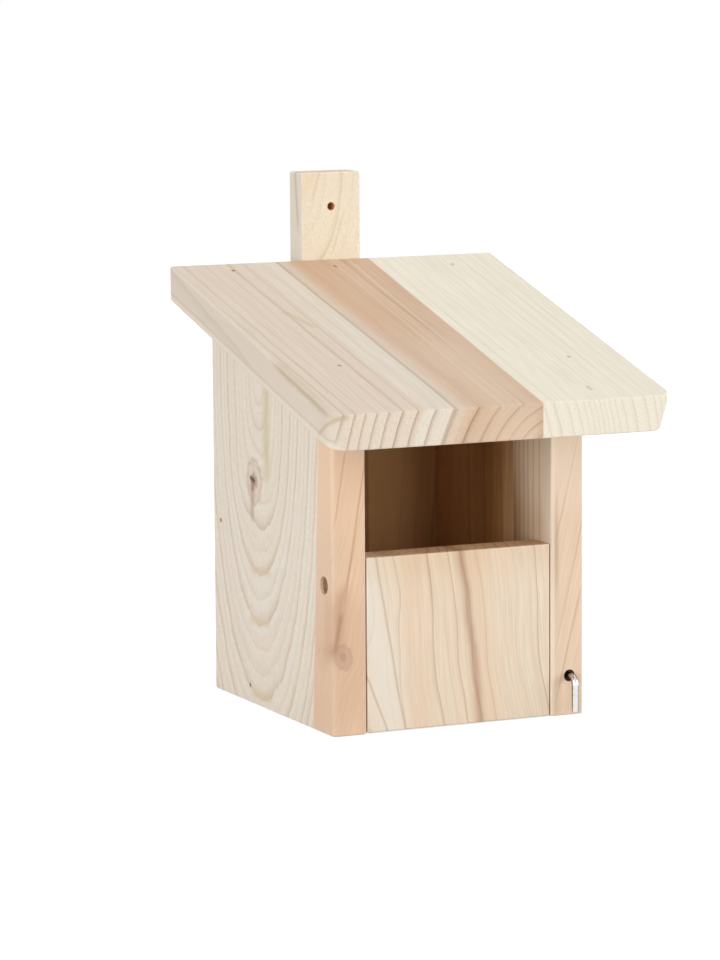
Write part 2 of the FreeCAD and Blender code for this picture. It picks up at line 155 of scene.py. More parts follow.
class Wiring:
    """Adds nodes to one tree and links them."""

    def __init__(self, tree: bpy.types.NodeTree) -> None:
        """Keeps the tree that the nodes go into."""
        self.tree = tree

    @classmethod
    def afresh(cls, owner: Union[bpy.types.Material, bpy.types.World]) -> "Wiring":
        """Starts the nodes of a material or a world.

        Args:
            owner: the material or world.

        Returns:
            The wiring of its emptied tree.
        """
        owner.use_nodes = True
        owner.node_tree.nodes.clear()
        return cls(owner.node_tree)

    def feed(self, socket: Socket, source: Source) -> None:
        """Links an input to a source, or sets it to a constant.

        Args:
            socket: the input.
            source: another node's output, or the constant.
        """
        if isinstance(source, bpy.types.NodeSocket):
            self.tree.links.new(source, socket)
        else:
            socket.default_value = source

    def node(self, kind: str, sources: Optional[Sources] = None, **settings: Any) -> bpy.types.Node:
        """Adds a node and feeds it.

        Args:
            kind: the node's type.
            sources: a source for each input, by its label or its number.
            settings: the node's properties.

        Returns:
            The node.
        """
        made = self.tree.nodes.new(kind)
        for name, value in settings.items():
            setattr(made, name, value)
        for label, source in (sources or {}).items():
            self.feed(made.inputs[label], source)
        return made

    def number(self, operation: str, *values: Source) -> Socket:
        """Works out one number from others."""
        return self.node("ShaderNodeMath", dict(enumerate(values)), operation=operation).outputs[0]

    def plus(self, first: Source, second: Source) -> Socket:
        """Adds two numbers."""
        return self.number("ADD", first, second)

    def minus(self, first: Source, second: Source) -> Socket:
        """Takes the second number from the first."""
        return self.number("SUBTRACT", first, second)

    def times(self, first: Source, second: Source) -> Socket:
        """Multiplies two numbers."""
        return self.number("MULTIPLY", first, second)

    def over(self, first: Source, second: Source) -> Socket:
        """Divides the first number by the second."""
        return self.number("DIVIDE", first, second)

    def most(self, first: Source, second: Source) -> Socket:
        """Takes the larger of two numbers."""
        return self.number("MAXIMUM", first, second)

    def least(self, first: Source, second: Source) -> Socket:
        """Takes the smaller of two numbers."""
        return self.number("MINIMUM", first, second)

    def vector(self, operation: str, *values: Source) -> Socket:
        """Works out a vector, or a length or product, from vectors."""
        made = self.node("ShaderNodeVectorMath", dict(enumerate(values)), operation=operation)
        return made.outputs["Value" if operation in ("LENGTH", "DOT_PRODUCT") else "Vector"]

    def scaled(self, vector: Source, factor: Source) -> Socket:
        """Multiplies a vector by a number."""
        sources = {"Vector": vector, "Scale": factor}
        return self.node("ShaderNodeVectorMath", sources, operation="SCALE").outputs["Vector"]

    def joined(self, *values: Source) -> Socket:
        """Puts numbers together into a vector."""
        return self.node("ShaderNodeCombineXYZ", dict(enumerate(values))).outputs[0]

    def split(self, vector: Source) -> list[Socket]:
        """Takes a vector apart into its three numbers."""
        return list(self.node("ShaderNodeSeparateXYZ", {0: vector}).outputs)

    def ease(self, value: Source, start: Source, stop: Source,
             first: Source = 0.0, last: Source = 1.0) -> Socket:
        """Runs smoothly from first to last as the value goes from start to stop."""
        sources = {"Value": value, "From Min": start, "From Max": stop, "To Min": first, "To Max": last}
        return self.node("ShaderNodeMapRange", sources, interpolation_type="SMOOTHSTEP").outputs["Result"]

    def bell(self, value: Source, width: Source) -> Socket:
        """One where the value is nought, falling off over the width to both sides."""
        share = self.over(value, width)
        return self.number("EXPONENT", self.times(self.times(share, share), -1.0))

    def mix(self, factor: Source, first: Source, second: Source, blend: Blend = Blend.COVER) -> Socket:
        """Lays a colour over another.

        Args:
            factor: how much of the second colour shows.
            first: the colour below.
            second: the colour above.
            blend: how they meet.

        Returns:
            The new colour.
        """
        made = self.node("ShaderNodeMix", data_type="RGBA", blend_type=blend.value)
        inputs = {socket.identifier: socket for socket in made.inputs}
        for label, source in (("Factor_Float", factor), ("A_Color", first), ("B_Color", second)):
            self.feed(inputs[label], source)
        return next(socket for socket in made.outputs if socket.identifier == "Result_Color")

    def noise(self, place: Source, detail: float, roughness: float = 0.5) -> Socket:
        """Noise from nought to one at a place that is already scaled."""
        sources = {"Vector": place, "Scale": 1.0, "Detail": detail, "Roughness": roughness}
        return self.node("ShaderNodeTexNoise", sources, noise_dimensions="3D").outputs[0]

    def swing(self, noise: Source, reach: Source) -> Socket:
        """Turns noise from nought to one into a swing to both sides of nought."""
        return self.times(self.number("MULTIPLY_ADD", noise, 2.0, -1.0), reach)

    def mapped(self, place: Source, centre: Triple = NOWHERE, turn: Triple = NOWHERE,
               unit: float = MM) -> Socket:
        """Takes a place into another frame.

        Args:
            place: the place in the old frame.
            centre: origin of the new frame in the old one, in millimetres.
            turn: the new frame's turn, in degrees.
            unit: length of the new frame's unit in the old one.

        Returns:
            The place in the new frame.
        """
        sources = {"Vector": place, "Location": Vector(centre) * MM, "Rotation": degrees(turn),
                   "Scale": (unit, unit, unit)}
        return self.node("ShaderNodeMapping", sources, vector_type="TEXTURE").outputs["Vector"]

    def put(self, tree: bpy.types.NodeTree, sources: dict[str, Source]) -> bpy.types.NodeOutputs:
        """Places a node group and gives its outputs."""
        return self.node("ShaderNodeGroup", sources, node_tree=tree).outputs

    def surface(self, colour: Source, roughness: Source, height: Source, relief: float,
                depth: float) -> bpy.types.NodeInputs:
        """Adds the shader of a solid and its output.

        Args:
            colour: the base colour.
            roughness: the roughness.
            height: the height of the relief, from nought to about one.
            relief: how strongly the relief shows.
            depth: the relief's depth in millimetres.

        Returns:
            The shader's inputs.
        """
        bump = self.node("ShaderNodeBump", {"Strength": relief, "Distance": depth * MM, "Height": height})
        shader = self.node("ShaderNodeBsdfPrincipled", {
            "Base Color": colour, "Roughness": roughness, "Normal": bump.outputs["Normal"]})
        self.node("ShaderNodeOutputMaterial", {"Surface": shader.outputs["BSDF"]})
        return shader.inputs


class GroupWiring(Wiring):
    """The wiring of a new shader node group, with the sockets that enter and leave it."""

    def __init__(self, name: str, inputs: Labels, outputs: Labels) -> None:
        """Makes the group and its sockets.

        Args:
            name: name of the group.
            inputs: labels of the inputs of each type.
            outputs: labels of the outputs of each type.
        """
        super().__init__(bpy.data.node_groups.new(name, "ShaderNodeTree"))
        for way, kinds in (("INPUT", inputs), ("OUTPUT", outputs)):
            for kind, labels in kinds.items():
                for label in labels:
                    self.tree.interface.new_socket(label, in_out=way, socket_type=kind.value)
        self.entry = self.node("NodeGroupInput").outputs
        self.exit = self.node("NodeGroupOutput").inputs


@dataclass(frozen=True)
class GrowthRings:
    """The group that cuts a board out of a log.

    The log's own millimetres run along its pith, which is its Z line. Rings wobble, drift in
    width and flow round one knot. A knot's sizes are shares of its own width and length. A noise
    is its scale across and along the grain, per millimetre, and its detail. A range is where a
    mask starts and where it is full.
    """

    knot_pull: float = 2.2
    knot_push: float = 0.78
    knot_edge: Triple = (0.22, 0.16, 2.0)
    knot_ragged: float = 0.34
    knot_body: Pair = (1.12, 0.8)
    knot_rim: float = 0.98
    knot_rim_width: float = 0.13
    knot_rim_shade: float = 0.55
    knot_core: Pair = (0.42, 0.24)
    knot_turns: float = 19.0
    knot_turn_shade: float = 0.28
    wobble_across: float = 0.022
    wobble_detail: float = 2.0
    ripple: Triple = (0.13, 0.03, 2.0)
    late_end: float = 0.92
    year_spread: float = 0.4
    year_strongest: float = 1.1
    sawn_spread: float = 0.4
    sawn_least: float = 0.7
    patch: Triple = (0.05, 0.012, 1.0)
    patch_range: Pair = (0.25, 0.7)
    patch_shades: Pair = (0.7, 1.15)
    fibre: Triple = (1.1, 0.03, 3.0)
    cloud: Triple = (0.03, 0.007, 2.0)
    cloud_range: Pair = (0.32, 0.7)
    streak_across: float = 0.45
    streak_along: float = 0.004
    streak_detail: float = 5.0
    streak_roughness: float = 0.62
    streak_range: Pair = (0.38, 0.68)

    def build(self) -> bpy.types.NodeTree:
        """Builds the group.

        Returns:
            The node group.
        """
        w = GroupWiring("growth_rings", {
            Kind.VECTOR: ("Log", "Knot Centre", "Knot Across"),
            Kind.VALUE: ("Seed", "Ring Width", "Drift", "Drift Period", "Drift Start", "Wobble",
                         "Sharpness", "Phase", "Ripple", "Wave", "Bend", "Bend Period", "Uneven", "Faint",
                         "Year Seed", "Knot Width", "Knot Length"),
        }, {Kind.VALUE: RING_MASKS})
        flow = self.knot(w)
        grown = self.growth(w, flow)
        self.lines(w, flow, grown)
        self.figure(w, flow, grown)
        return w.tree

    def noise(self, w: GroupWiring, place: Source, look: Triple) -> Socket:
        """Draws noise that is stretched along the grain.

        Args:
            w: the group's wiring.
            place: a place in the log.
            look: the noise's scale across and along the grain, and its detail.

        Returns:
            The noise, from nought to one.
        """
        across, along, detail = look
        stretched = w.vector("MULTIPLY", place, (across, across, along))
        return w.noise(w.vector("ADD", stretched, self.seed(w)), detail)

    def seed(self, w: GroupWiring) -> Socket:
        """Gives the log's seed as a shift of its noise."""
        return w.joined(w.entry["Seed"], w.entry["Seed"], w.entry["Seed"])

    def knot(self, w: GroupWiring) -> Socket:
        """Draws the knot and leads the wood round it.

        Args:
            w: the group's wiring.

        Returns:
            The place in the log that the knot and the log's bends moved here.
        """
        at = w.entry
        off = w.vector("SUBTRACT", at["Log"], at["Knot Centre"])
        across = w.vector("DOT_PRODUCT", off, at["Knot Across"])
        along = w.split(off)[2]
        wide = w.over(across, at["Knot Width"])
        tall = w.over(along, at["Knot Length"])
        reach = w.number("SQRT", w.plus(w.times(wide, wide), w.times(tall, tall)))
        reach = w.plus(reach, w.swing(self.noise(w, off, self.knot_edge), self.knot_ragged))
        knot = w.ease(reach, *self.knot_body)
        rim = w.times(w.bell(w.minus(reach, self.knot_rim), self.knot_rim_width), self.knot_rim_shade)
        turns = w.times(w.number("SINE", w.times(reach, self.knot_turns)), self.knot_turn_shade)
        inner = w.times(w.most(turns, 0.0), knot)
        w.feed(w.exit["Knot"], knot)
        w.feed(w.exit["Knot Line"], w.most(w.most(rim, w.ease(reach, *self.knot_core)), inner))
        push = w.times(w.bell(across, w.times(at["Knot Width"], self.knot_pull)),
                       w.bell(along, w.times(at["Knot Length"], self.knot_pull)))
        shift = w.times(w.times(across, push), self.knot_push)
        flow = w.vector("SUBTRACT", at["Log"], w.scaled(at["Knot Across"], shift))
        height = w.over(w.split(at["Log"])[2], at["Bend Period"])
        snake = w.times(w.number("SINE", w.times(height, FULL_CIRCLE)), at["Bend"])
        return w.vector("ADD", flow, w.scaled(Axis.SIDE.value, snake))

    def growth(self, w: GroupWiring, flow: Source) -> Socket:
        """Measures how far from the pith the wood grew.

        Args:
            w: the group's wiring.
            flow: the place in the log.

        Returns:
            The radius in millimetres, with the log's wobble and ripple.
        """
        at = w.entry
        radius = w.vector("LENGTH", w.vector("MULTIPLY", flow, (1.0, 1.0, 0.0)))
        stretch = w.joined(self.wobble_across, self.wobble_across, at["Wave"])
        waved = w.vector("ADD", w.vector("MULTIPLY", flow, stretch), self.seed(w))
        slow = w.swing(w.noise(waved, self.wobble_detail), at["Wobble"])
        quick = w.swing(self.noise(w, flow, self.ripple), at["Ripple"])
        grown = w.plus(radius, w.plus(slow, quick))
        w.feed(w.exit["Radius"], grown)
        return grown

    def lines(self, w: GroupWiring, flow: Source, grown: Source) -> None:
        """Draws the dark late wood of each year.

        Args:
            w: the group's wiring.
            flow: the place in the log.
            grown: the radius in millimetres.
        """
        at = w.entry
        turn = w.over(w.minus(grown, at["Drift Start"]), at["Drift Period"])
        sway = w.number("SINE", w.times(turn, FULL_CIRCLE))
        depth = w.times(at["Drift"], w.over(at["Drift Period"], FULL_CIRCLE))
        count = w.over(w.number("MULTIPLY_ADD", sway, depth, grown), at["Ring Width"])
        count = w.plus(count, at["Phase"])
        phase = w.number("FRACT", count)
        rise = w.least(w.number("POWER", w.over(phase, self.late_end), at["Sharpness"]), 1.0)
        late = w.times(rise, w.ease(phase, 1.0, self.late_end))
        birthday = w.plus(w.number("FLOOR", count), at["Year Seed"])
        year = w.node("ShaderNodeTexWhiteNoise", {"W": birthday}, noise_dimensions="1D").outputs
        strength = w.ease(year["Value"], at["Uneven"], w.plus(at["Uneven"], self.year_spread), at["Faint"],
                          self.year_strongest)
        patch = w.ease(self.noise(w, flow, self.patch), *self.patch_range, *self.patch_shades)
        sawn = w.number("MULTIPLY_ADD", year["Value"], self.sawn_spread, self.sawn_least)
        w.feed(w.exit["Line"], w.times(late, w.times(strength, patch)))
        w.feed(w.exit["Ring"], w.times(late, sawn))
        w.feed(w.exit["Year"], w.split(year["Color"])[1])

    def figure(self, w: GroupWiring, flow: Source, grown: Source) -> None:
        """Draws the fibres, the soft clouds and the streaks along the rings.

        Args:
            w: the group's wiring.
            flow: the place in the log.
            grown: the radius in millimetres.
        """
        w.feed(w.exit["Fibre"], self.noise(w, flow, self.fibre))
        w.feed(w.exit["Cloud"], w.ease(self.noise(w, flow, self.cloud), *self.cloud_range))
        trail = w.joined(w.times(grown, self.streak_across), w.times(w.split(flow)[2], self.streak_along),
                         w.entry["Seed"])
        streak = w.noise(trail, self.streak_detail, self.streak_roughness)
        w.feed(w.exit["Streak"], w.ease(streak, *self.streak_range))


@dataclass(frozen=True)
class BoardTone:
    """The group that turns ring, heart, knot and arris masks into a board's colour.

    It also gives roughness, and a height for fine relief. Widths are millimetres of the radius.
    """

    border_width: float = 0.75
    border_strength: float = 0.6
    rim_rise: float = 1.5
    rim_fall: float = 1.0
    fibre_range: Pair = (0.25, 0.75)
    fibre_shades: Pair = (0.93, 1.05)
    knot_gain: float = 1.2
    rubbed: Shade = (1.0, 0.97, 0.92, 1.0)
    rubbed_share: float = 0.5
    arris_share: float = 0.45
    roughness: float = 0.5
    fibre_roughness: float = 0.16
    line_smoothness: float = 0.1
    end_roughness: float = 0.14
    fibre_height: float = 0.6
    line_height: float = 0.5
    knot_depth: float = 0.8

    def build(self) -> bpy.types.NodeTree:
        """Builds the group.

        Returns:
            The node group.
        """
        w = GroupWiring("board_tone", {
            Kind.VALUE: RING_MASKS + (
                "End", "Arris", "Heart Radius", "Heart Softness", "Rim Width", "Line Strength",
                "Heart Line", "End Line", "Year Strength", "Cloud Strength", "Streak Strength",
                "Knot Strength"),
            Kind.COLOUR: ("Early", "Late", "Heart", "Heart Late", "Rim", "Year Tint", "Cloud Tint",
                          "Streak Tint", "Knot Tint", "Knot Dark", "End Shade"),
        }, {Kind.COLOUR: ("Colour",), Kind.VALUE: ("Roughness", "Height")})
        w.feed(w.exit["Colour"], self.marked(w, self.grown(w)))
        self.relief(w)
        return w.tree

    def grown(self, w: GroupWiring) -> Socket:
        """Colours the wood as it grew.

        Args:
            w: the group's wiring.

        Returns:
            Sapwood and heart with their rings and fibres.
        """
        at = w.entry
        past = w.minus(at["Radius"], at["Heart Radius"])
        heart = w.ease(past, 0.0, w.times(at["Heart Softness"], -1.0))
        border = w.times(w.bell(past, self.border_width), self.border_strength)
        rim_end = w.plus(at["Rim Width"], self.rim_fall)
        rim = w.times(w.ease(past, 0.0, self.rim_rise),
                      w.ease(past, rim_end, w.minus(at["Rim Width"], self.rim_fall)))
        ground = w.mix(heart, w.mix(rim, at["Early"], at["Rim"]), at["Heart"])
        for mask in ("Year", "Cloud", "Streak"):
            ground = w.mix(w.times(at[mask], at[f"{mask} Strength"]), ground, at[f"{mask} Tint"])
        long_line = w.times(at["Line"], w.ease(heart, 0.0, 1.0, at["Line Strength"], at["Heart Line"]))
        sawn_line = w.times(at["Ring"], at["End Line"])
        drawn = w.most(w.ease(at["End"], 0.0, 1.0, long_line, sawn_line), border)
        toned = w.mix(w.least(drawn, 1.0), ground, w.mix(heart, at["Late"], at["Heart Late"]))
        fine = w.ease(at["Fibre"], *self.fibre_range, *self.fibre_shades)
        grey = w.node("ShaderNodeCombineColor", {0: fine, 1: fine, 2: fine}).outputs[0]
        return w.mix(1.0, toned, grey, Blend.DARKEN)

    def marked(self, w: GroupWiring, toned: Source) -> Socket:
        """Adds the knot, the sawn ends and the rubbed arrises.

        Args:
            w: the group's wiring.
            toned: colour of the wood as it grew.

        Returns:
            The finished colour.
        """
        at = w.entry
        toned = w.mix(w.times(at["Knot"], at["Knot Strength"]), toned, at["Knot Tint"])
        dark = w.times(at["Knot Line"], w.times(at["Knot Strength"], self.knot_gain))
        toned = w.mix(w.least(dark, 1.0), toned, at["Knot Dark"])
        toned = w.mix(at["End"], toned, w.mix(1.0, toned, at["End Shade"], Blend.DARKEN))
        pale = w.mix(self.rubbed_share, toned, self.rubbed)
        return w.mix(w.times(at["Arris"], self.arris_share), toned, pale)

    def relief(self, w: GroupWiring) -> None:
        """Gives the roughness and the height of fibres, late wood and knot.

        Args:
            w: the group's wiring.
        """
        at = w.entry
        rough = w.number("MULTIPLY_ADD", at["Fibre"], self.fibre_roughness, self.roughness)
        rough = w.minus(rough, w.times(at["Line"], self.line_smoothness))
        w.feed(w.exit["Roughness"], w.plus(rough, w.times(at["End"], self.end_roughness)))
        height = w.plus(w.times(at["Fibre"], self.fibre_height), w.times(at["Line"], self.line_height))
        w.feed(w.exit["Height"], w.minus(height, w.times(at["Knot Line"], self.knot_depth)))


@dataclass(frozen=True)
class ArrisWear:
    """The group that finds a board's rubbed arrises from its box."""

    rub_scale: float = 55.0
    rub_detail: float = 2.0
    rub_spread: float = 1.2
    rub_least: float = 0.4

    def build(self) -> bpy.types.NodeTree:
        """Builds the group.

        Returns:
            The node group.
        """
        w = GroupWiring("arris_wear", {Kind.VECTOR: ("Place", "Low", "High"), Kind.VALUE: ("Width",)},
                        {Kind.VALUE: ("Arris",)})
        at = w.entry
        inside = w.vector("MINIMUM", w.vector("SUBTRACT", at["Place"], at["Low"]),
                          w.vector("SUBTRACT", at["High"], at["Place"]))
        first, second, third = w.split(inside)
        middle = w.most(w.least(first, second), w.least(w.most(first, second), third))
        rub = w.noise(w.scaled(at["Place"], self.rub_scale), self.rub_detail)
        reach = w.times(at["Width"], w.number("MULTIPLY_ADD", rub, self.rub_spread, self.rub_least))
        w.feed(w.exit["Arris"], w.ease(middle, reach, 0.0))
        return w.tree


@dataclass(frozen=True)
class EndGrain:
    """The group that tells a board's sawn ends from its long faces."""

    facing_range: Pair = (0.55, 0.85)

    def build(self) -> bpy.types.NodeTree:
        """Builds the group.

        Returns:
            The node group.
        """
        w = GroupWiring("end_grain", {Kind.VECTOR: ("Axis",)}, {Kind.VALUE: ("End",)})
        normal = w.node("ShaderNodeTexCoord").outputs["Normal"]
        facing = w.number("ABSOLUTE", w.vector("DOT_PRODUCT", normal, w.entry["Axis"]))
        w.feed(w.exit["End"], w.ease(facing, *self.facing_range))
        return w.tree


@dataclass(frozen=True)
class MarkAndLightStreak:
    """The group for one long soft mark that follows the grain, for marks in the wood and for painted light
    and shade alike.

    Its place is in millimetres. Its line leans by Lean across per unit along.
    """

    sway_scale: float = 0.03
    sway_detail: float = 2.0
    full_share: float = 0.55

    def build(self) -> bpy.types.NodeTree:
        """Builds the group.

        Returns:
            The node group.
        """
        w = GroupWiring("marks_and_light_streak", {
            Kind.VECTOR: ("Place", "Across", "Along"),
            Kind.VALUE: ("Lean", "Half Width", "Half Length", "Depth", "Sway", "Seed"),
        }, {Kind.VALUE: ("Stain",)})
        at = w.entry
        along = w.vector("DOT_PRODUCT", at["Place"], at["Along"])
        across = w.vector("DOT_PRODUCT", at["Place"], at["Across"])
        across = w.minus(across, w.times(along, at["Lean"]))
        spot = w.joined(w.times(along, self.sway_scale), at["Seed"])
        bend = w.swing(w.noise(spot, self.sway_detail), w.times(at["Half Width"], at["Sway"]))
        body = w.bell(w.plus(across, bend), at["Half Width"])
        ends = self.fading(w, along, at["Half Length"])
        square = w.vector("CROSS_PRODUCT", at["Across"], at["Along"])
        skin = self.fading(w, w.vector("DOT_PRODUCT", at["Place"], square), at["Depth"])
        w.feed(w.exit["Stain"], w.times(w.times(body, ends), skin))
        return w.tree

    def fading(self, w: GroupWiring, distance: Source, reach: Source) -> Socket:
        """One near the mark's middle, falling to nought at its reach to both sides."""
        return w.ease(w.number("ABSOLUTE", distance), reach, w.times(reach, self.full_share))


@dataclass(frozen=True)
class BoredHole:
    """The group that finds the wall of a drilled hole, in millimetres from a point on its axis."""

    edge: Pair = (0.4, 0.05)

    def build(self) -> bpy.types.NodeTree:
        """Builds the group.

        Returns:
            The node group.
        """
        w = GroupWiring("bored_hole", {Kind.VECTOR: ("Place", "Axis"), Kind.VALUE: ("Radius",)},
                        {Kind.VALUE: ("Hole",)})
        at = w.entry
        along = w.vector("DOT_PRODUCT", at["Place"], at["Axis"])
        off = w.vector("LENGTH", w.vector("SUBTRACT", at["Place"], w.scaled(at["Axis"], along)))
        w.feed(w.exit["Hole"], w.ease(w.minus(off, at["Radius"]), *self.edge))
        return w.tree


class Effects:
    """The shared node groups, built once."""

    def __init__(self) -> None:
        """Builds each group."""
        self.rings = GrowthRings().build()
        self.tone = BoardTone().build()
        self.arris = ArrisWear().build()
        self.end = EndGrain().build()
        self.stain = MarkAndLightStreak().build()
        self.hole = BoredHole().build()


@dataclass(frozen=True)
class Log:
    """Where a board sat in its tree, in the board's own millimetres and degrees."""

    pith: Triple
    turn: Triple
    ring_width: float
    seed: float
    drift: float = 0.25
    drift_period: float = 70.0
    drift_start: float = 0.0
    wobble: float = 3.0
    ripple: float = 0.4
    wave: float = 0.0075
    bend: float = 0.0
    bend_period: float = 85.0
    sharpness: float = 5.0
    phase: float = 0.0
    uneven: float = 0.15
    faint: float = 0.2
    year_seed: float = 0.0


@dataclass(frozen=True)
class Tone:
    """Colours of a planed softwood on screen from 0 to 255, and how strongly each shows."""

    early: Triple
    late: Triple
    heart: Triple = (222, 190, 160)
    heart_late: Triple = (168, 124, 92)
    rim: Triple = (226, 216, 202)
    cloud_tint: Triple = (236, 208, 180)
    streak_tint: Triple = (226, 200, 170)
    year_tint: Triple = (240, 230, 214)
    heart_radius: float = -50.0
    heart_softness: float = 2.0
    rim_width: float = 0.0
    line_strength: float = 0.6
    heart_line: float = 0.3
    end_line: float = 0.8
    cloud_strength: float = 0.25
    streak_strength: float = 0.2
    year_strength: float = 0.0
    end_shade: Triple = (254, 250, 246)

    def inputs(self) -> dict[str, Source]:
        """Gives each value under its input's label, with colours made linear."""
        return {label: linear(value) if isinstance(value, tuple) else value
                for label, value in sockets(self).items()}


@dataclass(frozen=True)
class Knot:
    """A branch cut across in a board, in the board's own millimetres."""

    centre: Triple = (0.0, 0.0, -9000.0)
    across: Triple = Axis.SIDE.value
    width: float = 1.0
    length: float = 1.0
    strength: float = 0.0
    tint: Triple = (196, 172, 146)
    dark: Triple = (128, 96, 72)


@dataclass(frozen=True)
class Bore:
    """A drilled hole whose wall and mouth are darkened, mostly as painted shade, in the board's own
    millimetres.
    """

    centre: Triple
    axis: Triple
    radius: float
    tint: Triple


@dataclass(frozen=True)
class Stain:
    """A long soft mark along the grain, in the board's own millimetres: a mark in the wood itself, painted
    light and painted shade alike.
    """

    centre: Triple
    across: Triple
    along: Triple
    half_width: float
    half_length: float
    tint: Triple
    strength: float
    lean: float = 0.0
    seed: float = 0.0
    depth: float = WHOLE
    sway: float = 0.9
    blend: Blend = Blend.COVER


@dataclass(frozen=True)
class Face:
    """A flat face that marks, painted light and painted shade lie on, square to one axis of its board's
    frame, in millimetres.
    """

    square: Axis
    level: float
    across: Axis
    along: Axis

    def stain(self, across: float, along: float, *shape: Any, **more: Any) -> Stain:
        """Lays a mark on the face: a mark in the wood itself, painted light and painted shade alike.

        Args:
            across: the mark's middle across its run.
            along: the mark's middle along its run.
            shape: its half width, half length, tint and strength.
            more: its other values by name.

        Returns:
            The mark.
        """
        centre = tuple(self.level * out + across * wide + along * far for out, wide, far
                       in zip(self.square.value, self.across.value, self.along.value))
        return Stain(centre, self.across.value, self.along.value, *shape, **more)

    def turned(self) -> "Face":
        """Gives the same face with marks that run square to these."""
        return Face(self.square, self.level, self.along, self.across)

    def inside_shade(self, middle: Pair, seed: float) -> Stain:
        """Paints shade onto an inner face, where the inside of the box lies in shadow.

        Args:
            middle: a point on the face, across and along.
            seed: sets where the shade is uneven.

        Returns:
            The painted shade.
        """
        flat = self.stain(*middle, PAINTED_INSIDE_SHADE_DEPTH, WHOLE, PAINTED_INSIDE_SHADE_TINT, 1.0, seed=seed, blend=Blend.DARKEN)
        return replace(flat, across=self.square.value)


def cover(piece: bpy.types.Object, material: bpy.types.Material) -> None:
    """Puts one material on all of a piece."""
    piece.data.materials.clear()
    piece.data.materials.append(material)


@dataclass(frozen=True)
class Board:
    """One stave or board: its node, place in the log and finish, with widths in millimetres."""

    node: str
    log: Log
    tone: Tone
    grain: Axis = Axis.UP
    board_turn: Triple = NOWHERE
    knot: Knot = Knot()
    stains: Sequence[Stain] = ()
    bores: Sequence[Bore] = ()
    arris_width: float = 1.3
    relief: float = 0.35
    relief_depth: float = 0.3
    gloss: float = 0.28

    def box(self) -> tuple[Vector, Vector]:
        """Measures the board in its own frame.

        Returns:
            Its lowest and highest corner.
        """
        back = degrees(self.board_turn).to_matrix().inverted()
        places = [back @ vertex.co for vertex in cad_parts[self.node].data.vertices]
        low = Vector([min(place[axis] for place in places) for axis in range(3)])
        high = Vector([max(place[axis] for place in places) for axis in range(3)])
        return low, high

    def masks(self, w: Wiring, effects: Effects, place: Source) -> dict[str, Source]:
        """Cuts the board out of its log.

        Args:
            w: the material's wiring.
            effects: the shared node groups.
            place: the place in the board's own frame.

        Returns:
            The masks of its rings, sawn ends and arrises.
        """
        into_log = degrees(self.log.turn).to_matrix().inverted()
        rings = w.put(effects.rings, sockets(self.log, "pith", "turn") | {
            "Log": w.mapped(place, self.log.pith, self.log.turn),
            "Knot Centre": into_log @ (Vector(self.knot.centre) - Vector(self.log.pith)),
            "Knot Across": into_log @ Vector(self.knot.across),
            "Knot Width": self.knot.width,
            "Knot Length": self.knot.length,
        })
        low, high = self.box()
        width = self.arris_width * MM
        arris = w.put(effects.arris, {"Place": place, "Low": low, "High": high, "Width": width})
        axis = degrees(self.board_turn).to_matrix() @ Vector(self.grain.value)
        end = w.put(effects.end, {"Axis": axis})
        return {label: rings[label] for label in RING_MASKS} | {"End": end["End"], "Arris": arris["Arris"]}

    def stained(self, w: Wiring, effects: Effects, place: Source, colour: Source) -> Source:
        """Lays the marks, painted light and shade among them, and paints shade into the holes.

        Args:
            w: the material's wiring.
            effects: the shared node groups.
            place: the place in the board's own frame.
            colour: the clean wood.

        Returns:
            The wood with its marks, painted light and painted shade.
        """
        for stain in self.stains:
            shape = sockets(stain, "centre", "tint", "strength", "blend")
            mask = w.put(effects.stain, shape | {"Place": w.mapped(place, stain.centre)})
            share = w.times(mask["Stain"], stain.strength)
            colour = w.mix(share, colour, linear(stain.tint), stain.blend)
        for bore in self.bores:
            shape = sockets(bore, "centre", "tint")
            mask = w.put(effects.hole, shape | {"Place": w.mapped(place, bore.centre)})
            colour = w.mix(mask["Hole"], colour, linear(bore.tint))
        return colour

    def material(self, effects: Effects) -> bpy.types.Material:
        """Makes the board's wood.

        Args:
            effects: the shared node groups.

        Returns:
            The material, cut from the board's log.
        """
        made = bpy.data.materials.new(f"{self.node}_wood")
        w = Wiring.afresh(made)
        coordinates = w.node("ShaderNodeTexCoord").outputs["Object"]
        place = w.mapped(coordinates, turn=self.board_turn, unit=1.0)
        toned = w.put(effects.tone, self.masks(w, effects, place) | self.tone.inputs() | {
            "Knot Strength": self.knot.strength,
            "Knot Tint": linear(self.knot.tint),
            "Knot Dark": linear(self.knot.dark),
        })
        colour = self.stained(w, effects, place, toned["Colour"])
        shader = w.surface(colour, toned["Roughness"], toned["Height"], self.relief, self.relief_depth)
        shader["Specular IOR Level"].default_value = self.gloss
        return made


class Joinery:
    """A sub-assembly of boards."""

    def boards(self) -> list[Board]:
        """Lists its boards."""
        raise NotImplementedError

    def dress(self, effects: Effects) -> None:
        """Gives every board's node its wood.

        Args:
            effects: the shared node groups.
        """
        for board in self.boards():
            cover(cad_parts[board.node], board.material(effects))
            REPORTER.info("board %s dressed", board.node)


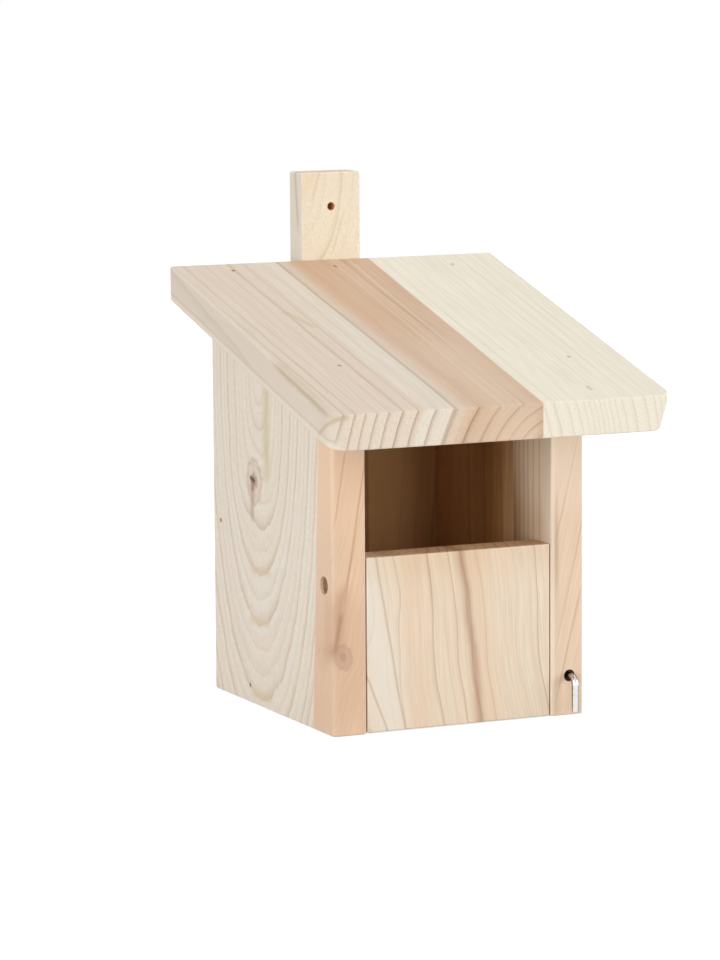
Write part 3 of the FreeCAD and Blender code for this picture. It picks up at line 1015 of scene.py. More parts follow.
@dataclass
class Roof(Joinery):
    """Two glued staves that slope to the front, in degrees and millimetres."""

    pitch: float = 15.7
    top: Face = Face(Axis.UP, 216.0, Axis.SIDE, Axis.BACK)
    left: Face = Face(Axis.SIDE, -102.5, Axis.UP, Axis.BACK)
    heart: Face = Face(Axis.SIDE, 4.0, Axis.BACK, Axis.UP)
    sunk_brads: tuple[Pair, ...] = ((-68.0, -16.7), (-68.0, 135.0), (-3.6, 135.0))
    sunk_radius: float = 1.1

    def boards(self) -> list[Board]:
        """Lists the staves.

        Returns:
            The wide stave with its brown heart, and the cream one.
        """
        laid = (self.pitch, 0.0, 0.0)
        lean = math.radians(self.pitch)
        plumb = (0.0, math.sin(lean), math.cos(lean))
        wide = Board(
            "roof_left_stave",
            Log(pith=(36.0, 0.0, 173.0), turn=(-90.0, 0.0, 1.47), ring_width=7.8, seed=3.1,
                drift=0.3, drift_period=110.0, drift_start=25.0, wobble=1.2, ripple=0.3,
                sharpness=7.0, phase=0.672, uneven=0.25, faint=0.3, year_seed=12.0),
            Tone(early=(225, 210, 193), late=(172, 144, 118), heart=(209, 177, 147),
                 heart_late=(156, 112, 82), rim=(228, 219, 204), heart_radius=80.8,
                 heart_softness=10.0, rim_width=16.0, line_strength=0.55, heart_line=0.36, end_line=0.9,
                 cloud_tint=(230, 208, 188), streak_tint=(228, 202, 178), cloud_strength=0.2,
                 streak_strength=0.35, end_shade=(263, 265, 265)),
            Axis.BACK, laid, stains=self.wide_stains(),
            # Painted shade in the sunk holes over the brads' heads
            bores=[Bore((across, along, self.top.level), plumb, self.sunk_radius, (146, 120, 98))
                   for across, along in self.sunk_brads])
        cream = Board(
            "roof_right_stave",
            Log(pith=(-120.0, 0.0, 165.0), turn=(-90.3, 0.0, -0.4), ring_width=4.2, seed=7.7,
                drift=0.45, drift_period=46.0, wobble=1.4, ripple=0.35, sharpness=5.0),
            Tone(early=(240, 233, 215), late=(210, 190, 158), cloud_tint=(241, 230, 210),
                 streak_tint=(232, 223, 200), line_strength=0.27, end_line=0.45, cloud_strength=0.2,
                 streak_strength=0.35, end_shade=(260, 259, 259)),
            Axis.BACK, laid,
            stains=[self.top.stain(59.0, -68.4, 1.3, 4.5, (200, 188, 166), 0.7, seed=3.0)])
        return [wide, cream]

    def wide_stains(self) -> list[Stain]:
        """Lists the marks on the wide stave.

        Returns:
            The marks and the painted highlight, from the lowest to the topmost.
        """
        top, left, edge = self.top, self.left, self.left.level
        slant, slant_run = (0.0, 0.712, 0.702), (0.0, -0.702, 0.712)
        pink = (230, 204, 178)
        return [
            # Heart, its joint and a resin fleck on the upper face
            top.stain(5.0, -70.0, 20.0, 110.0, (226, 204, 180), 0.4, seed=2.0),
            top.stain(-19.0, 105.0, 9.0, 90.0, (212, 170, 132), 0.42, seed=7.0),
            top.stain(20.8, 30.0, 2.4, WHOLE, (206, 166, 138), 0.3, seed=9.0),
            top.stain(-61.5, 54.0, 2.4, 17.0, (206, 184, 152), 0.55, seed=4.0, lean=-0.3),
            # Left side: its ground, a painted highlight along the lower arris, a line, the rounded corner
            # and the top arris
            top.stain(edge, 30.0, 5.0, WHOLE, (225, 213, 198), 0.6, seed=8.0),
            left.stain(198.6, 20.0, 2.4, WHOLE, (238, 225, 208), 0.7, seed=1.0, depth=6.0, sway=0.1),
            left.stain(201.3, 20.0, 0.8, WHOLE, (204, 190, 170), 0.6, seed=3.0, depth=4.0, sway=0.4),
            Stain((edge, -79.6, 208.4), slant, slant_run, 1.3, 15.0, (194, 174, 142), 0.65,
                  seed=5.0, depth=12.0, sway=0.1),
            left.stain(214.4, -44.0, 1.7, 46.0, (190, 166, 132), 0.7, seed=6.0, lean=0.012, depth=5.0),
            # Lighter heart at the sawn end, and two pale lines in the heart
            self.heart.stain(-90.3, 206.5, 3.0, WHOLE, (236, 206, 178), 0.3, seed=10.0, depth=17.0,
                             sway=0.1),
            top.stain(-1.8, 20.0, 0.8, WHOLE, pink, 0.5, seed=11.0, depth=3.0),
            top.stain(9.0, 20.0, 0.9, WHOLE, pink, 0.5, seed=12.0, depth=3.0),
        ]


@dataclass
class SideWalls(Joinery):
    """Left and right walls, each of a wide rear stave and a pink front stave, in millimetres."""

    front: Face = Face(Axis.BACK, -83.0, Axis.SIDE, Axis.UP)
    left: Face = Face(Axis.SIDE, -77.0, Axis.BACK, Axis.UP)
    inner: Face = Face(Axis.SIDE, 57.0, Axis.BACK, Axis.UP)
    latch_hole: Triple = (68.6, -83.0, 22.4)
    latch_hole_radius: float = 3.2

    def boards(self) -> list[Board]:
        """Lists the staves.

        Returns:
            The four staves.
        """
        return [self.rear_left(), self.front_left(), self.front_right(), self.rear_right()]

    def rear_left(self) -> Board:
        """Describes the pale stave with the arched grain and a knot.

        Returns:
            The stave.
        """
        left, level = self.left, self.left.turned()
        tips = [level.stain(height, back, 2.2, 18.0, (224, 200, 162), 0.6, seed=height)
                for back, height in ((15.0, 78.0), (17.0, 48.5), (15.0, 6.0))]
        return Board(
            "left_wall_rear_stave",
            Log(pith=(left.level, 16.0, 194.0), turn=(0.0, -22.0, 0.0), ring_width=5.2, seed=1.3,
                drift=0.0, wobble=1.8, ripple=1.3, sharpness=2.4, phase=0.3, uneven=0.4,
                faint=0.4, year_seed=722.77),
            Tone(early=(241, 229, 212), late=(192, 160, 126), cloud_tint=(241, 231, 216),
                 streak_tint=(230, 210, 188), year_tint=(239, 234, 222), line_strength=0.46, end_line=0.7,
                 cloud_strength=0.3, streak_strength=0.3, year_strength=0.5),
            knot=Knot(centre=(left.level, 23.0, 129.0), across=Axis.BACK.value, width=10.0, length=11.5,
                      strength=0.5, tint=(226, 209, 192), dark=(166, 132, 106)),
            stains=[
                *tips,
                # Above the knot, below it, round its core and the core itself
                left.stain(5.5, 165.0, 4.6, 42.0, (214, 198, 162), 0.75, seed=1.0),
                left.stain(26.0, 118.0, 2.6, 15.0, (180, 146, 122), 0.6, seed=9.0),
                left.stain(25.6, 127.0, 2.4, 5.6, (140, 106, 86), 0.65, seed=5.0),
                level.stain(129.6, 25.6, 1.4, 4.8, (74, 54, 44), 0.95, lean=0.2, seed=6.0),
            ],
            relief=0.2)

    def front_left(self) -> Board:
        """Describes the pink stave with a small knot in its front edge.

        Returns:
            The stave.
        """
        front, left = self.front, self.left
        return Board(
            "left_wall_front_stave",
            Log(pith=(-129.0, -260.0, 90.0), turn=(0.0, 14.6, 0.0), ring_width=4.0, seed=5.9,
                drift=0.2, drift_period=60.0, wobble=1.4, ripple=0.2, sharpness=16.0, uneven=0.6,
                faint=0.1, year_seed=4.0),
            Tone(early=(236, 202, 171), late=(164, 116, 82), cloud_tint=(224, 184, 150),
                 streak_tint=(240, 210, 182), line_strength=0.5, cloud_strength=0.4, streak_strength=0.08),
            knot=Knot(centre=(-70.8, front.level, 44.0), width=5.6, length=6.4, strength=0.55,
                      tint=(190, 158, 138), dark=(156, 126, 108)),
            stains=[
                # Browner wood round the knot, a paler outer face, and painted light at the top that lifts
                # the shade under the roof
                front.stain(-67.0, 42.0, 26.0, 42.0, (220, 180, 150), 0.38, seed=2.0),
                front.stain(left.level, 100.0, 3.0, WHOLE, (236, 214, 190), 0.25, seed=9.0),
                front.stain(-67.0, 165.0, 30.0, 70.0, (244, 209, 178), 0.6, seed=5.0),
                # Two grain lines, and the branch that leads into the knot
                front.stain(-63.5, 112.0, 0.55, 48.0, (196, 136, 100), 0.55, seed=7.0, lean=0.16),
                front.stain(-72.0, 138.0, 0.5, 26.0, (200, 142, 106), 0.45, seed=8.0, lean=0.17),
                front.stain(-73.4, 62.0, 4.6, 26.0, (196, 150, 118), 0.55, seed=3.0, lean=0.12, depth=14.0),
                front.stain(-74.0, 57.0, 1.4, 14.0, (164, 120, 90), 0.5, seed=6.0, lean=0.2, depth=6.0),
                left.stain(-70.0, 47.0, 7.0, 15.0, (212, 168, 136), 0.2, seed=4.0),
            ])

    def front_right(self) -> Board:
        """Describes the pink stave that carries the hook.

        Returns:
            The stave.
        """
        front, inner, level = self.front, self.inner, self.inner.turned()
        lines = [inner.stain(back, 130.0, 0.9, WHOLE, (224, 210, 196), 0.7, seed=back, depth=3.0,
                             blend=Blend.DARKEN) for back in (-39.0, -44.5, -50.0, -55.0, -61.5, -69.0)]
        return Board(
            "right_wall_front_stave",
            Log(pith=(1.0, -269.0, 90.0), turn=(0.0, 13.0, 0.0), ring_width=3.2, seed=2.2,
                drift=0.25, drift_period=50.0, wobble=1.0, ripple=0.2, sharpness=9.0, uneven=0.55,
                faint=0.12, year_seed=9.0),
            Tone(early=(240, 214, 188), late=(176, 132, 98), cloud_tint=(234, 202, 172),
                 streak_tint=(238, 218, 192), line_strength=0.45, end_line=0.7, cloud_strength=0.35,
                 streak_strength=0.08),
            stains=[
                # Grain lines, the inner face's ground, and painted light at the top of the front edge that
                # lifts the shade under the roof
                front.stain(68.4, 134.0, 0.5, 40.0, (196, 146, 108), 0.5, seed=2.0, lean=0.24),
                front.stain(68.0, 40.0, 0.5, 40.0, (198, 150, 112), 0.45, seed=4.0, lean=0.25),
                front.stain(inner.level, 140.0, 5.0, WHOLE, (234, 208, 174), 0.65, seed=6.0),
                front.stain(66.0, 166.0, 30.0, 60.0, (245, 224, 202), 0.5, seed=5.0),
                # Inner face: painted shade at the joint and low down, painted light at the top and the
                # front, where light falls into the box
                inner.stain(-33.0, 140.0, 14.0, WHOLE, (190, 160, 128), 1.0, seed=8.0, depth=7.0, sway=0.15,
                            blend=Blend.DARKEN),
                level.stain(156.0, -60.0, 26.0, WHOLE, (250, 228, 198), 0.5, seed=1.0, depth=6.0, sway=0.1),
                level.stain(96.0, -60.0, 26.0, WHOLE, (224, 220, 216), 1.0, seed=3.0, depth=6.0, sway=0.1,
                            blend=Blend.DARKEN),
                inner.stain(front.level, 130.0, 11.0, WHOLE, (252, 236, 216), 0.6, seed=9.0, depth=3.0,
                            sway=0.1),
                *lines,
            ],
            # Painted shade in the mouth of the hook's hole
            bores=[Bore(self.latch_hole, Axis.BACK.value, self.latch_hole_radius, (116, 82, 58))])

    def rear_right(self) -> Board:
        """Describes the stave behind it, which shows on the inside only.

        Returns:
            The stave.
        """
        inner = self.inner
        return Board(
            "right_wall_rear_stave",
            Log(pith=(10.0, 60.0, 90.0), turn=(-2.0, 1.5, 0.0), ring_width=9.0, seed=8.4,
                wobble=4.0, sharpness=5.0, uneven=0.4, faint=0.15, year_seed=7.0),
            Tone(early=(226, 192, 158), late=(160, 120, 90), cloud_tint=(216, 180, 148),
                 streak_tint=(238, 212, 184), line_strength=0.5, cloud_strength=0.4, streak_strength=0.3),
            stains=[
                # Painted shade over the inner face, where the inside of the box lies in shadow
                inner.inside_shade((20.0, 110.0), 4.0),
                # Two pale lines, painted shade toward the corner and a strip of painted light at the joint
                inner.stain(-29.0, 140.0, 1.6, 140.0, (220, 184, 140), 0.4, lean=-0.08, seed=3.0),
                inner.stain(-14.0, 140.0, 1.2, 140.0, (216, 178, 132), 0.35, lean=-0.06, seed=7.0),
                inner.stain(-4.0, 120.0, 23.0, WHOLE, (206, 197, 182), 1.0, seed=5.0, depth=7.0, sway=0.15,
                            blend=Blend.DARKEN),
                inner.stain(-31.0, 140.0, 10.0, WHOLE, (200, 172, 142), 0.25, seed=6.0, depth=7.0,
                            sway=0.2),
            ])


@dataclass
class BackWall(Joinery):
    """Two staves between the side walls and the hanging batten behind them, in millimetres."""

    inner: Face = Face(Axis.BACK, 63.0, Axis.SIDE, Axis.UP)
    batten_front: Face = Face(Axis.BACK, 83.0, Axis.SIDE, Axis.UP)
    batten_left: Face = Face(Axis.SIDE, -19.5, Axis.BACK, Axis.UP)
    hanging_hole: Triple = (-0.8, 91.7, 278.5)
    hanging_hole_radius: float = 2.25

    def boards(self) -> list[Board]:
        """Lists the staves and the batten.

        Returns:
            The three boards.
        """
        wood = Tone(early=(230, 200, 170), late=(160, 120, 90), cloud_tint=(214, 178, 146),
                    streak_tint=(238, 212, 184), line_strength=0.5, cloud_strength=0.4,
                    streak_strength=0.25)
        inner = self.inner
        # Painted shade over both staves' inner faces, where the inside of the box lies in shadow
        shade = inner.inside_shade((0.0, 110.0), 2.0)
        left = Board(
            "back_wall_left_stave",
            Log(pith=(-120.0, 50.0, 90.0), turn=(1.5, -3.5, 0.0), ring_width=13.0, seed=4.6,
                wobble=5.0, sharpness=5.0, uneven=0.45, faint=0.15, year_seed=5.0), wood, stains=[shade])
        right = Board(
            "back_wall_right_stave",
            Log(pith=(110.0, 90.0, 90.0), turn=(-1.0, 2.0, 0.0), ring_width=12.0, seed=9.2,
                wobble=4.0, sharpness=5.0, uneven=0.45, faint=0.15, year_seed=2.0), wood,
            stains=[
                shade,
                # Painted light over its left part, and painted shade in the corner by the right wall
                inner.stain(8.0, 110.0, 30.0, WHOLE, (238, 194, 134), 0.8, seed=4.0, depth=7.0, sway=0.15),
                inner.stain(52.0, 110.0, 12.0, WHOLE, (216, 208, 194), 1.0, seed=6.0, depth=7.0, sway=0.15,
                            blend=Blend.DARKEN),
            ])
        return [left, right, self.batten()]

    def batten(self) -> Board:
        """Describes the batten with its hanging hole.

        Returns:
            The batten.
        """
        front, left = self.batten_front, self.batten_left
        return Board(
            "hanging_batten",
            Log(pith=(-25.0, front.level, 300.0), turn=(30.0, 0.0, 0.0), ring_width=9.0, seed=6.3,
                drift=0.3, drift_period=40.0, wobble=1.0, ripple=0.25, sharpness=6.0, phase=0.62,
                uneven=0.5, year_seed=33.76),
            Tone(early=(236, 224, 201), late=(206, 176, 140), cloud_tint=(234, 216, 191),
                 streak_tint=(230, 214, 188), line_strength=0.5, cloud_strength=0.3, streak_strength=0.25),
            stains=[
                # Tan and pink streaks near the top, and a second line beside the ring
                front.stain(-14.8, 292.0, 2.8, 18.0, (234, 208, 172), 0.5, lean=0.64, seed=2.0, depth=6.0),
                front.stain(-10.1, 291.5, 0.9, 13.0, (224, 194, 168), 0.6, lean=0.29, seed=2.0, depth=6.0,
                            sway=0.2),
                front.stain(3.3, 262.0, 0.6, 15.0, (214, 184, 150), 0.4, lean=0.32, seed=2.0, depth=6.0,
                            sway=0.2),
                # Left side: its ground, greyer and darker as painted shade, and one dark line
                front.stain(left.level, 260.0, 0.9, 400.0, (231, 221, 205), 0.8, seed=4.0, sway=0.0),
                left.stain(90.9, 288.0, 1.7, 28.0, (209, 193, 177), 0.9, lean=0.12, seed=4.0, depth=3.0,
                           sway=0.1),
            ],
            # The hole's darker wall is partly the bored wood's own colour and partly painted shade
            bores=[Bore(self.hanging_hole, Axis.BACK.value, self.hanging_hole_radius, (212, 154, 92))])


@dataclass
class FloorBoard(Joinery):
    """The floor between the walls, with its drain holes, in millimetres."""

    pith: Triple = (0.0, 10.0, -60.0)

    def boards(self) -> list[Board]:
        """Lists the floor.

        Returns:
            The one board.
        """
        wood = Tone(early=(220, 190, 158), late=(150, 110, 80), cloud_tint=(204, 164, 130))
        log = Log(pith=self.pith, turn=(0.0, 91.0, 0.0), ring_width=6.0, seed=1.9, wobble=2.5)
        return [Board("floor_board", log, wood, Axis.SIDE)]


@dataclass
class FrontPanel(Joinery):
    """The half panel that swings out on its dowels, in millimetres."""

    front: Face = Face(Axis.BACK, -83.0, Axis.SIDE, Axis.UP)
    top_edge: float = 97.0

    def boards(self) -> list[Board]:
        """Lists the panel.

        Returns:
            The one board.
        """
        front, brown = self.front, (190, 158, 128)
        pale = front.stain(-50.0, 48.0, 11.5, 160.0, (242, 234, 220), 0.75, lean=-0.18, seed=1.0)
        glow = front.stain(-27.0, 40.0, 6.0, 120.0, (238, 206, 176), 0.45, lean=-0.06, seed=8.0)
        tan = front.stain(15.5, 45.0, 6.5, 160.0, (236, 204, 170), 0.45, lean=-0.11, seed=5.0)
        heart = front.stain(7.2, 50.0, 2.7, 140.0, (172, 124, 92), 0.6, lean=-0.123, seed=3.0)
        bent = front.stain(-42.0, 48.0, 0.7, 160.0, brown, 0.5, lean=-0.18, seed=7.0, sway=1.6)
        low = front.stain(-50.2, 16.0, 0.7, 45.0, brown, 0.5, lean=-0.4, seed=4.0, sway=1.2)
        top = front.turned().stain(self.top_edge, 0.0, 14.0, WHOLE, (250, 245, 238), 1.0, seed=2.0,
                                   sway=0.1, blend=Blend.DARKEN)
        return [Board(
            "front_panel",
            Log(pith=(-66.0, -52.0, 98.0), turn=(0.0, -7.0, 0.0), ring_width=5.0, seed=10.9,
                drift=0.3, drift_period=37.0, wobble=5.0, ripple=0.4, wave=0.011, bend=1.5,
                bend_period=100.0, sharpness=10.0, uneven=0.4, year_seed=3.0),
            Tone(early=(241, 226, 204), late=(178, 136, 102), cloud_tint=(237, 211, 184),
                 streak_tint=(235, 208, 178), year_tint=(238, 212, 182), line_strength=0.5,
                 cloud_strength=0.3, streak_strength=0.35, year_strength=0.3, end_shade=(226, 204, 182)),
            stains=[pale, glow, tan, heart, bent, low, top])]


@dataclass(frozen=True)
class MetalFinish:
    """A bare metal with fine marks, and a painted dark reflection in its colour where it turns away.

    A range is where a mask starts and where it is full. The relief's depth is in millimetres.
    """

    name: str
    colour: Triple
    worn: Triple
    # Colour of the painted dark reflection where the metal turns away
    edge: Triple
    roughness: float
    spread: float
    scale: float
    detail: float = 4.0
    worn_range: Pair = (0.45, 0.75)
    rough_range: Pair = (0.3, 0.75)
    edge_range: Pair = (0.15, 0.72)
    relief: float = 0.05
    relief_depth: float = 0.1

    def material(self) -> bpy.types.Material:
        """Makes the metal.

        Returns:
            The material.
        """
        made = bpy.data.materials.new(self.name)
        w = Wiring.afresh(made)
        place = w.scaled(w.node("ShaderNodeTexCoord").outputs["Object"], self.scale)
        marks = w.noise(place, self.detail)
        metal = w.mix(w.ease(marks, *self.worn_range), linear(self.colour), linear(self.worn))
        # Painted dark reflection: the colour runs towards the edge colour where the surface turns away
        slant = w.ease(w.node("ShaderNodeLayerWeight").outputs["Facing"], *self.edge_range)
        rough = w.ease(marks, *self.rough_range, self.roughness, self.roughness + self.spread)
        colour = w.mix(slant, metal, linear(self.edge))
        shader = w.surface(colour, rough, marks, self.relief, self.relief_depth)
        shader["Metallic"].default_value = 1.0
        return made


PLATED_WIRE = MetalFinish("plated_wire", colour=(214, 214, 212), worn=(192, 190, 186), edge=(70, 66, 62),
                          roughness=0.16, spread=0.1, scale=420.0)
BRAD_STEEL = MetalFinish("brad_steel", colour=(64, 54, 46), worn=(44, 35, 28), edge=(40, 33, 28),
                         roughness=0.55, spread=0.3, scale=900.0)


def placed(mesh: bmesh.types.BMesh, name: str) -> bpy.types.Object:
    """Puts a mesh into the scene.

    Args:
        mesh: the bmesh, which is freed.
        name: name of the object.

    Returns:
        The new object, at the origin.
    """
    data = bpy.data.meshes.new(name)
    mesh.to_mesh(data)
    mesh.free()
    made = bpy.data.objects.new(name, data)
    bpy.context.scene.collection.objects.link(made)
    return made


def put_in_order(mesh: bmesh.types.BMesh) -> None:
    """Lists the faces by their corners, because extruding leaves their order open.

    Args:
        mesh: the bmesh.
    """
    mesh.verts.index_update()
    ranked = sorted(mesh.faces, key=lambda face: sorted(corner.index for corner in face.verts))
    for rank, face in enumerate(ranked):
        face.index = rank
    mesh.faces.sort()


def finished(mesh: bmesh.types.BMesh, name: str, body: str) -> bpy.types.Object:
    """Makes an object of a mesh that is already in its place.

    Args:
        mesh: the bmesh, which is freed.
        name: name of the piece.
        body: body that it rides on.

    Returns:
        The new object, at the origin.
    """
    bmesh.ops.recalc_face_normals(mesh, faces=mesh.faces)
    put_in_order(mesh)
    piece = placed(mesh, name)
    for face in piece.data.polygons:
        face.use_smooth = True
    piece.data.set_sharp_from_angle(angle=SMOOTH_ANGLE)
    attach(piece, body)
    REPORTER.info("piece %s made", name)
    return piece


@dataclass
class Dowels:
    """Two round wooden pivots of the panel, one in each side wall; pith and arris are in millimetres."""

    radius: float = 5.0 * MM
    bevel: float = 0.5 * MM
    bevel_steps: int = 3
    steps: int = 48
    pith: Pair = (-70.0, 84.5)
    arris_width: float = 0.5

    def build(self, effects: Effects) -> None:
        """Turns both dowels and dresses them.

        Args:
            effects: the shared node groups.
        """
        # Dark brown wood: a darker hardwood, deepened as painted shade of the recessed dowel ends
        wood = Tone(early=(150, 118, 94), late=(96, 70, 52), cloud_tint=(130, 98, 76), line_strength=0.7,
                    end_shade=(236, 228, 220))
        for node in ("pivot_dowel_left", "pivot_dowel_right"):
            low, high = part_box(node)
            middle = (low + high) / 2.0
            mesh = bmesh.new()
            turned = Matrix.Translation(middle) @ Matrix.Rotation(QUARTER_TURN, 4, "Y")
            bmesh.ops.create_cone(mesh, cap_ends=True, segments=self.steps, radius1=self.radius,
                                  radius2=self.radius, depth=high.x - low.x, matrix=turned)
            rims = [edge for edge in mesh.edges
                    if len({round(vertex.co.x, MICRON_DIGITS) for vertex in edge.verts}) == 1]
            bmesh.ops.bevel(mesh, geom=rims, offset=self.bevel, affect="EDGES", segments=self.bevel_steps,
                            profile=ROUND_PROFILE, material=SAME_MATERIAL)
            piece = finished(mesh, f"{node}_turned", "box")
            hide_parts(node)
            log = Log(pith=(middle.x / MM, *self.pith), turn=(0.0, 90.0, 0.0), ring_width=1.6, seed=3.3,
                      wobble=0.4)
            board = Board(node, log, wood, Axis.SIDE, arris_width=self.arris_width)
            cover(piece, board.material(effects))


@dataclass
class LatchHook:
    """The bent wire that locks the panel, stored turned down."""

    across: float = 68.6 * MM
    height: float = 22.4 * MM
    front: float = -83.0 * MM
    wire: float = 2.0 * MM
    standoff: float = 7.2 * MM
    arm: float = 19.6 * MM
    bend: float = 4.5 * MM
    depth: float = 28.0 * MM
    tip: float = 0.5 * MM
    tip_steps: int = 4
    steps: int = 32
    bend_steps: int = 16

    def build(self) -> None:
        """Draws the wire: shank, quarter bend and arm, with both cut ends eased."""
        mesh = bmesh.new()
        shank_end = Vector((self.across, self.front + self.depth, self.height))
        stand = Matrix.Translation(shank_end) @ Matrix.Rotation(QUARTER_TURN, 4, "X")
        bmesh.ops.create_circle(mesh, cap_ends=True, segments=self.steps, radius=self.wire, matrix=stand)
        face = mesh.faces[:]
        arm_front = self.front - self.standoff
        face = self.drawn(mesh, face, Vector((0.0, arm_front + self.bend - shank_end.y, 0.0)))
        centre = Vector((self.across, arm_front + self.bend, self.height - self.bend))
        turned = bmesh.ops.spin(mesh, geom=face, cent=centre, axis=Axis.SIDE.value, angle=QUARTER_TURN,
                                steps=self.bend_steps, use_duplicate=False)
        face = [part for part in turned["geom_last"] if isinstance(part, bmesh.types.BMFace)]
        self.drawn(mesh, face, Vector((0.0, 0.0, self.bend - self.arm)))
        caps = [part for part in mesh.faces if len(part.verts) > QUAD_CORNERS]
        rims = [edge for cap in caps for edge in cap.edges]
        bmesh.ops.bevel(mesh, geom=rims, offset=self.tip, affect="EDGES", segments=self.tip_steps,
                        profile=ROUND_PROFILE, material=SAME_MATERIAL)
        piece = finished(mesh, "latch_hook_wire", "latch")
        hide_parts("latch_hook")
        cover(piece, PLATED_WIRE.material())

    def drawn(self, mesh: bmesh.types.BMesh, faces: list[bmesh.types.BMFace],
              run: Vector) -> list[bmesh.types.BMFace]:
        """Draws the wire's section straight on.

        Args:
            mesh: the bmesh.
            faces: the section that is drawn.
            run: how far, and where to.

        Returns:
            The section at the run's end.
        """
        made = bmesh.ops.extrude_face_region(mesh, geom=faces)
        points = [part for part in made["geom"] if isinstance(part, bmesh.types.BMVert)]
        bmesh.ops.translate(mesh, verts=points, vec=run)
        return [part for part in made["geom"] if isinstance(part, bmesh.types.BMFace)]


@dataclass
class Brads:
    """Sunk brads through the roof, walls, floor and batten."""

    groups: tuple[str, ...] = ("roof_nails_front", "roof_nails_back", "left_wall_nails",
                               "right_wall_nails", "floor_nails", "batten_nails")

    def dress(self) -> None:
        """Gives every brad its dull steel."""
        steel = BRAD_STEEL.material()
        for node in self.groups:
            cover(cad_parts[node], steel)
            REPORTER.info("brads %s dressed", node)


@dataclass(frozen=True)
class Lamp:
    """A square soft lamp that looks at a point on the box."""

    name: str
    place: Triple
    size: float
    power: float
    aim: Triple = (0.0, 0.0, 0.12)

    def hang(self) -> None:
        """Hangs the lamp."""
        data = bpy.data.lights.new(self.name, "AREA")
        data.shape = "SQUARE"
        data.size = self.size
        data.energy = self.power
        lamp = bpy.data.objects.new(self.name, data)
        lamp.location = self.place
        lamp.rotation_mode = "QUATERNION"
        lamp.rotation_quaternion = (Vector(self.aim) - Vector(self.place)).to_track_quat("-Z", "Y")
        bpy.context.scene.collection.objects.link(lamp)


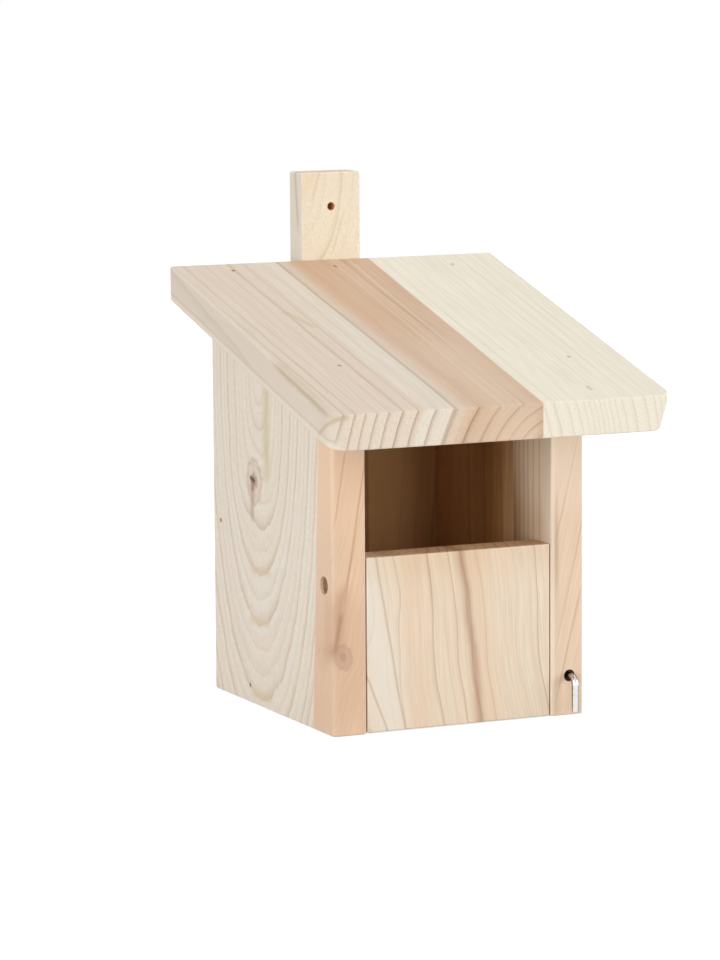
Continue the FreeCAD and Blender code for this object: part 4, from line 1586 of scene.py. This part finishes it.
@dataclass
class Studio:
    """White floor and backdrop, and soft lamps."""

    floor_size: float = 12.0
    floor_drop: float = 0.3 * MM
    sky: float = 0.38
    floor_glow: float = 0.76
    floor_white: float = 0.62
    lamps: tuple[Lamp, ...] = (
        Lamp("left_lamp", (-2.1, -1.2, 0.45), 1.6, 38.0),
        Lamp("right_lamp", (2.1, -1.2, 0.45), 1.6, 38.0),
        Lamp("front_lamp", (-0.5, -2.6, 0.3), 1.8, 8.0),
        Lamp("top_lamp", (0.3, 0.2, 2.6), 2.0, 20.0),
    )

    def seen(self, w: Wiring) -> Socket:
        """Tells rays that look at the surroundings from the light itself.

        Args:
            w: wiring of the floor or the sky.

        Returns:
            One for rays from the camera, a mirror or glass, and nought for the others.
        """
        rays = w.node("ShaderNodeLightPath").outputs
        sharp = w.most(rays["Is Glossy Ray"], rays["Is Transmission Ray"])
        return w.most(rays["Is Camera Ray"], sharp)

    def sky_light(self) -> None:
        """Makes the white surroundings, dimmer as light than as seen."""
        world = bpy.data.worlds.new("white_room")
        w = Wiring.afresh(world)
        strength = w.ease(self.seen(w), 0.0, 1.0, self.sky, 1.0)
        backdrop = w.node("ShaderNodeBackground", {"Color": WHITE, "Strength": strength})
        w.node("ShaderNodeOutputWorld", {"Surface": backdrop.outputs[0]})
        bpy.context.scene.world = world

    def floor(self) -> None:
        """Lays the pale floor, which is white to the eye and keeps the box's shadow."""
        mesh = bmesh.new()
        bmesh.ops.create_grid(mesh, x_segments=1, y_segments=1, size=self.floor_size / 2.0,
                              matrix=Matrix.Translation((0.0, 0.0, -self.floor_drop)))
        floor = placed(mesh, "floor")
        made = bpy.data.materials.new("floor_white")
        w = Wiring.afresh(made)
        grey = (self.floor_white, self.floor_white, self.floor_white, 1.0)
        matt = w.node("ShaderNodeBsdfDiffuse", {"Color": grey})
        glow = w.node("ShaderNodeEmission", {"Strength": w.times(self.seen(w), self.floor_glow)})
        upper = w.node("ShaderNodeAddShader", {0: matt.outputs[0], 1: glow.outputs[0]})
        under = w.node("ShaderNodeBsdfTransparent")
        behind = w.node("ShaderNodeNewGeometry").outputs["Backfacing"]
        both = w.node("ShaderNodeMixShader", {0: behind, 1: upper.outputs[0], 2: under.outputs[0]})
        w.node("ShaderNodeOutputMaterial", {"Surface": both.outputs[0]})
        cover(floor, made)

    def build(self) -> None:
        """Sets up the whole stage."""
        self.sky_light()
        self.floor()
        for lamp in self.lamps:
            lamp.hang()
        bpy.context.scene.view_settings.view_transform = "Standard"
        REPORTER.info("studio ready")


@dataclass
class Viewpoint:
    """The camera, where the photographer stood, in degrees, metres and the picture's pixels."""

    azimuth: float = -24.804
    elevation: float = 7.727
    roll: float = -0.381
    distance: float = 2.2981
    target: Triple = (-0.0217, 0.0, 0.1288)
    focal_pixels: float = 4052.5
    long_side: float = 960.0
    sensor: float = 36.0
    near: float = 0.05
    far: float = 50.0

    def place(self) -> None:
        """Makes the camera and the scene's view of the box."""
        turn, lift, tip = (math.radians(angle) for angle in (self.azimuth, self.elevation, self.roll))
        back = Vector((math.sin(turn) * math.cos(lift), -math.cos(turn) * math.cos(lift), math.sin(lift)))
        level = Vector((math.cos(turn), math.sin(turn), 0.0))
        upright = back.cross(level)
        right = level * math.cos(tip) + upright * math.sin(tip)
        top = upright * math.cos(tip) - level * math.sin(tip)
        data = bpy.data.cameras.new("viewpoint")
        data.sensor_fit = "AUTO"
        data.sensor_width = self.sensor
        data.lens = self.focal_pixels / self.long_side * self.sensor
        data.clip_start = self.near
        data.clip_end = self.far
        camera = bpy.data.objects.new("viewpoint", data)
        bpy.context.scene.collection.objects.link(camera)
        facing = Matrix((right, top, back)).transposed().to_4x4()
        camera.matrix_world = Matrix.Translation(Vector(self.target) + back * self.distance) @ facing
        bpy.context.scene.camera = camera


@dataclass
class NestBox:
    """The whole box, sub-assembly by sub-assembly."""

    wooden: tuple[Joinery, ...] = field(default_factory=lambda: (
        Roof(), SideWalls(), BackWall(), FloorBoard(), FrontPanel()))
    dowels: Dowels = field(default_factory=Dowels)
    hook: LatchHook = field(default_factory=LatchHook)
    brads: Brads = field(default_factory=Brads)

    def build(self) -> None:
        """Dresses every node and makes the new pieces."""
        effects = Effects()
        for part in self.wooden:
            part.dress(effects)
        self.dowels.build(effects)
        self.hook.build()
        self.brads.dress()


def main() -> None:
    """Builds the box, the studio and the camera."""
    logging.basicConfig(level=logging.INFO)
    NestBox().build()
    Studio().build()
    Viewpoint().place()


if __name__ == "__main__":
    main()
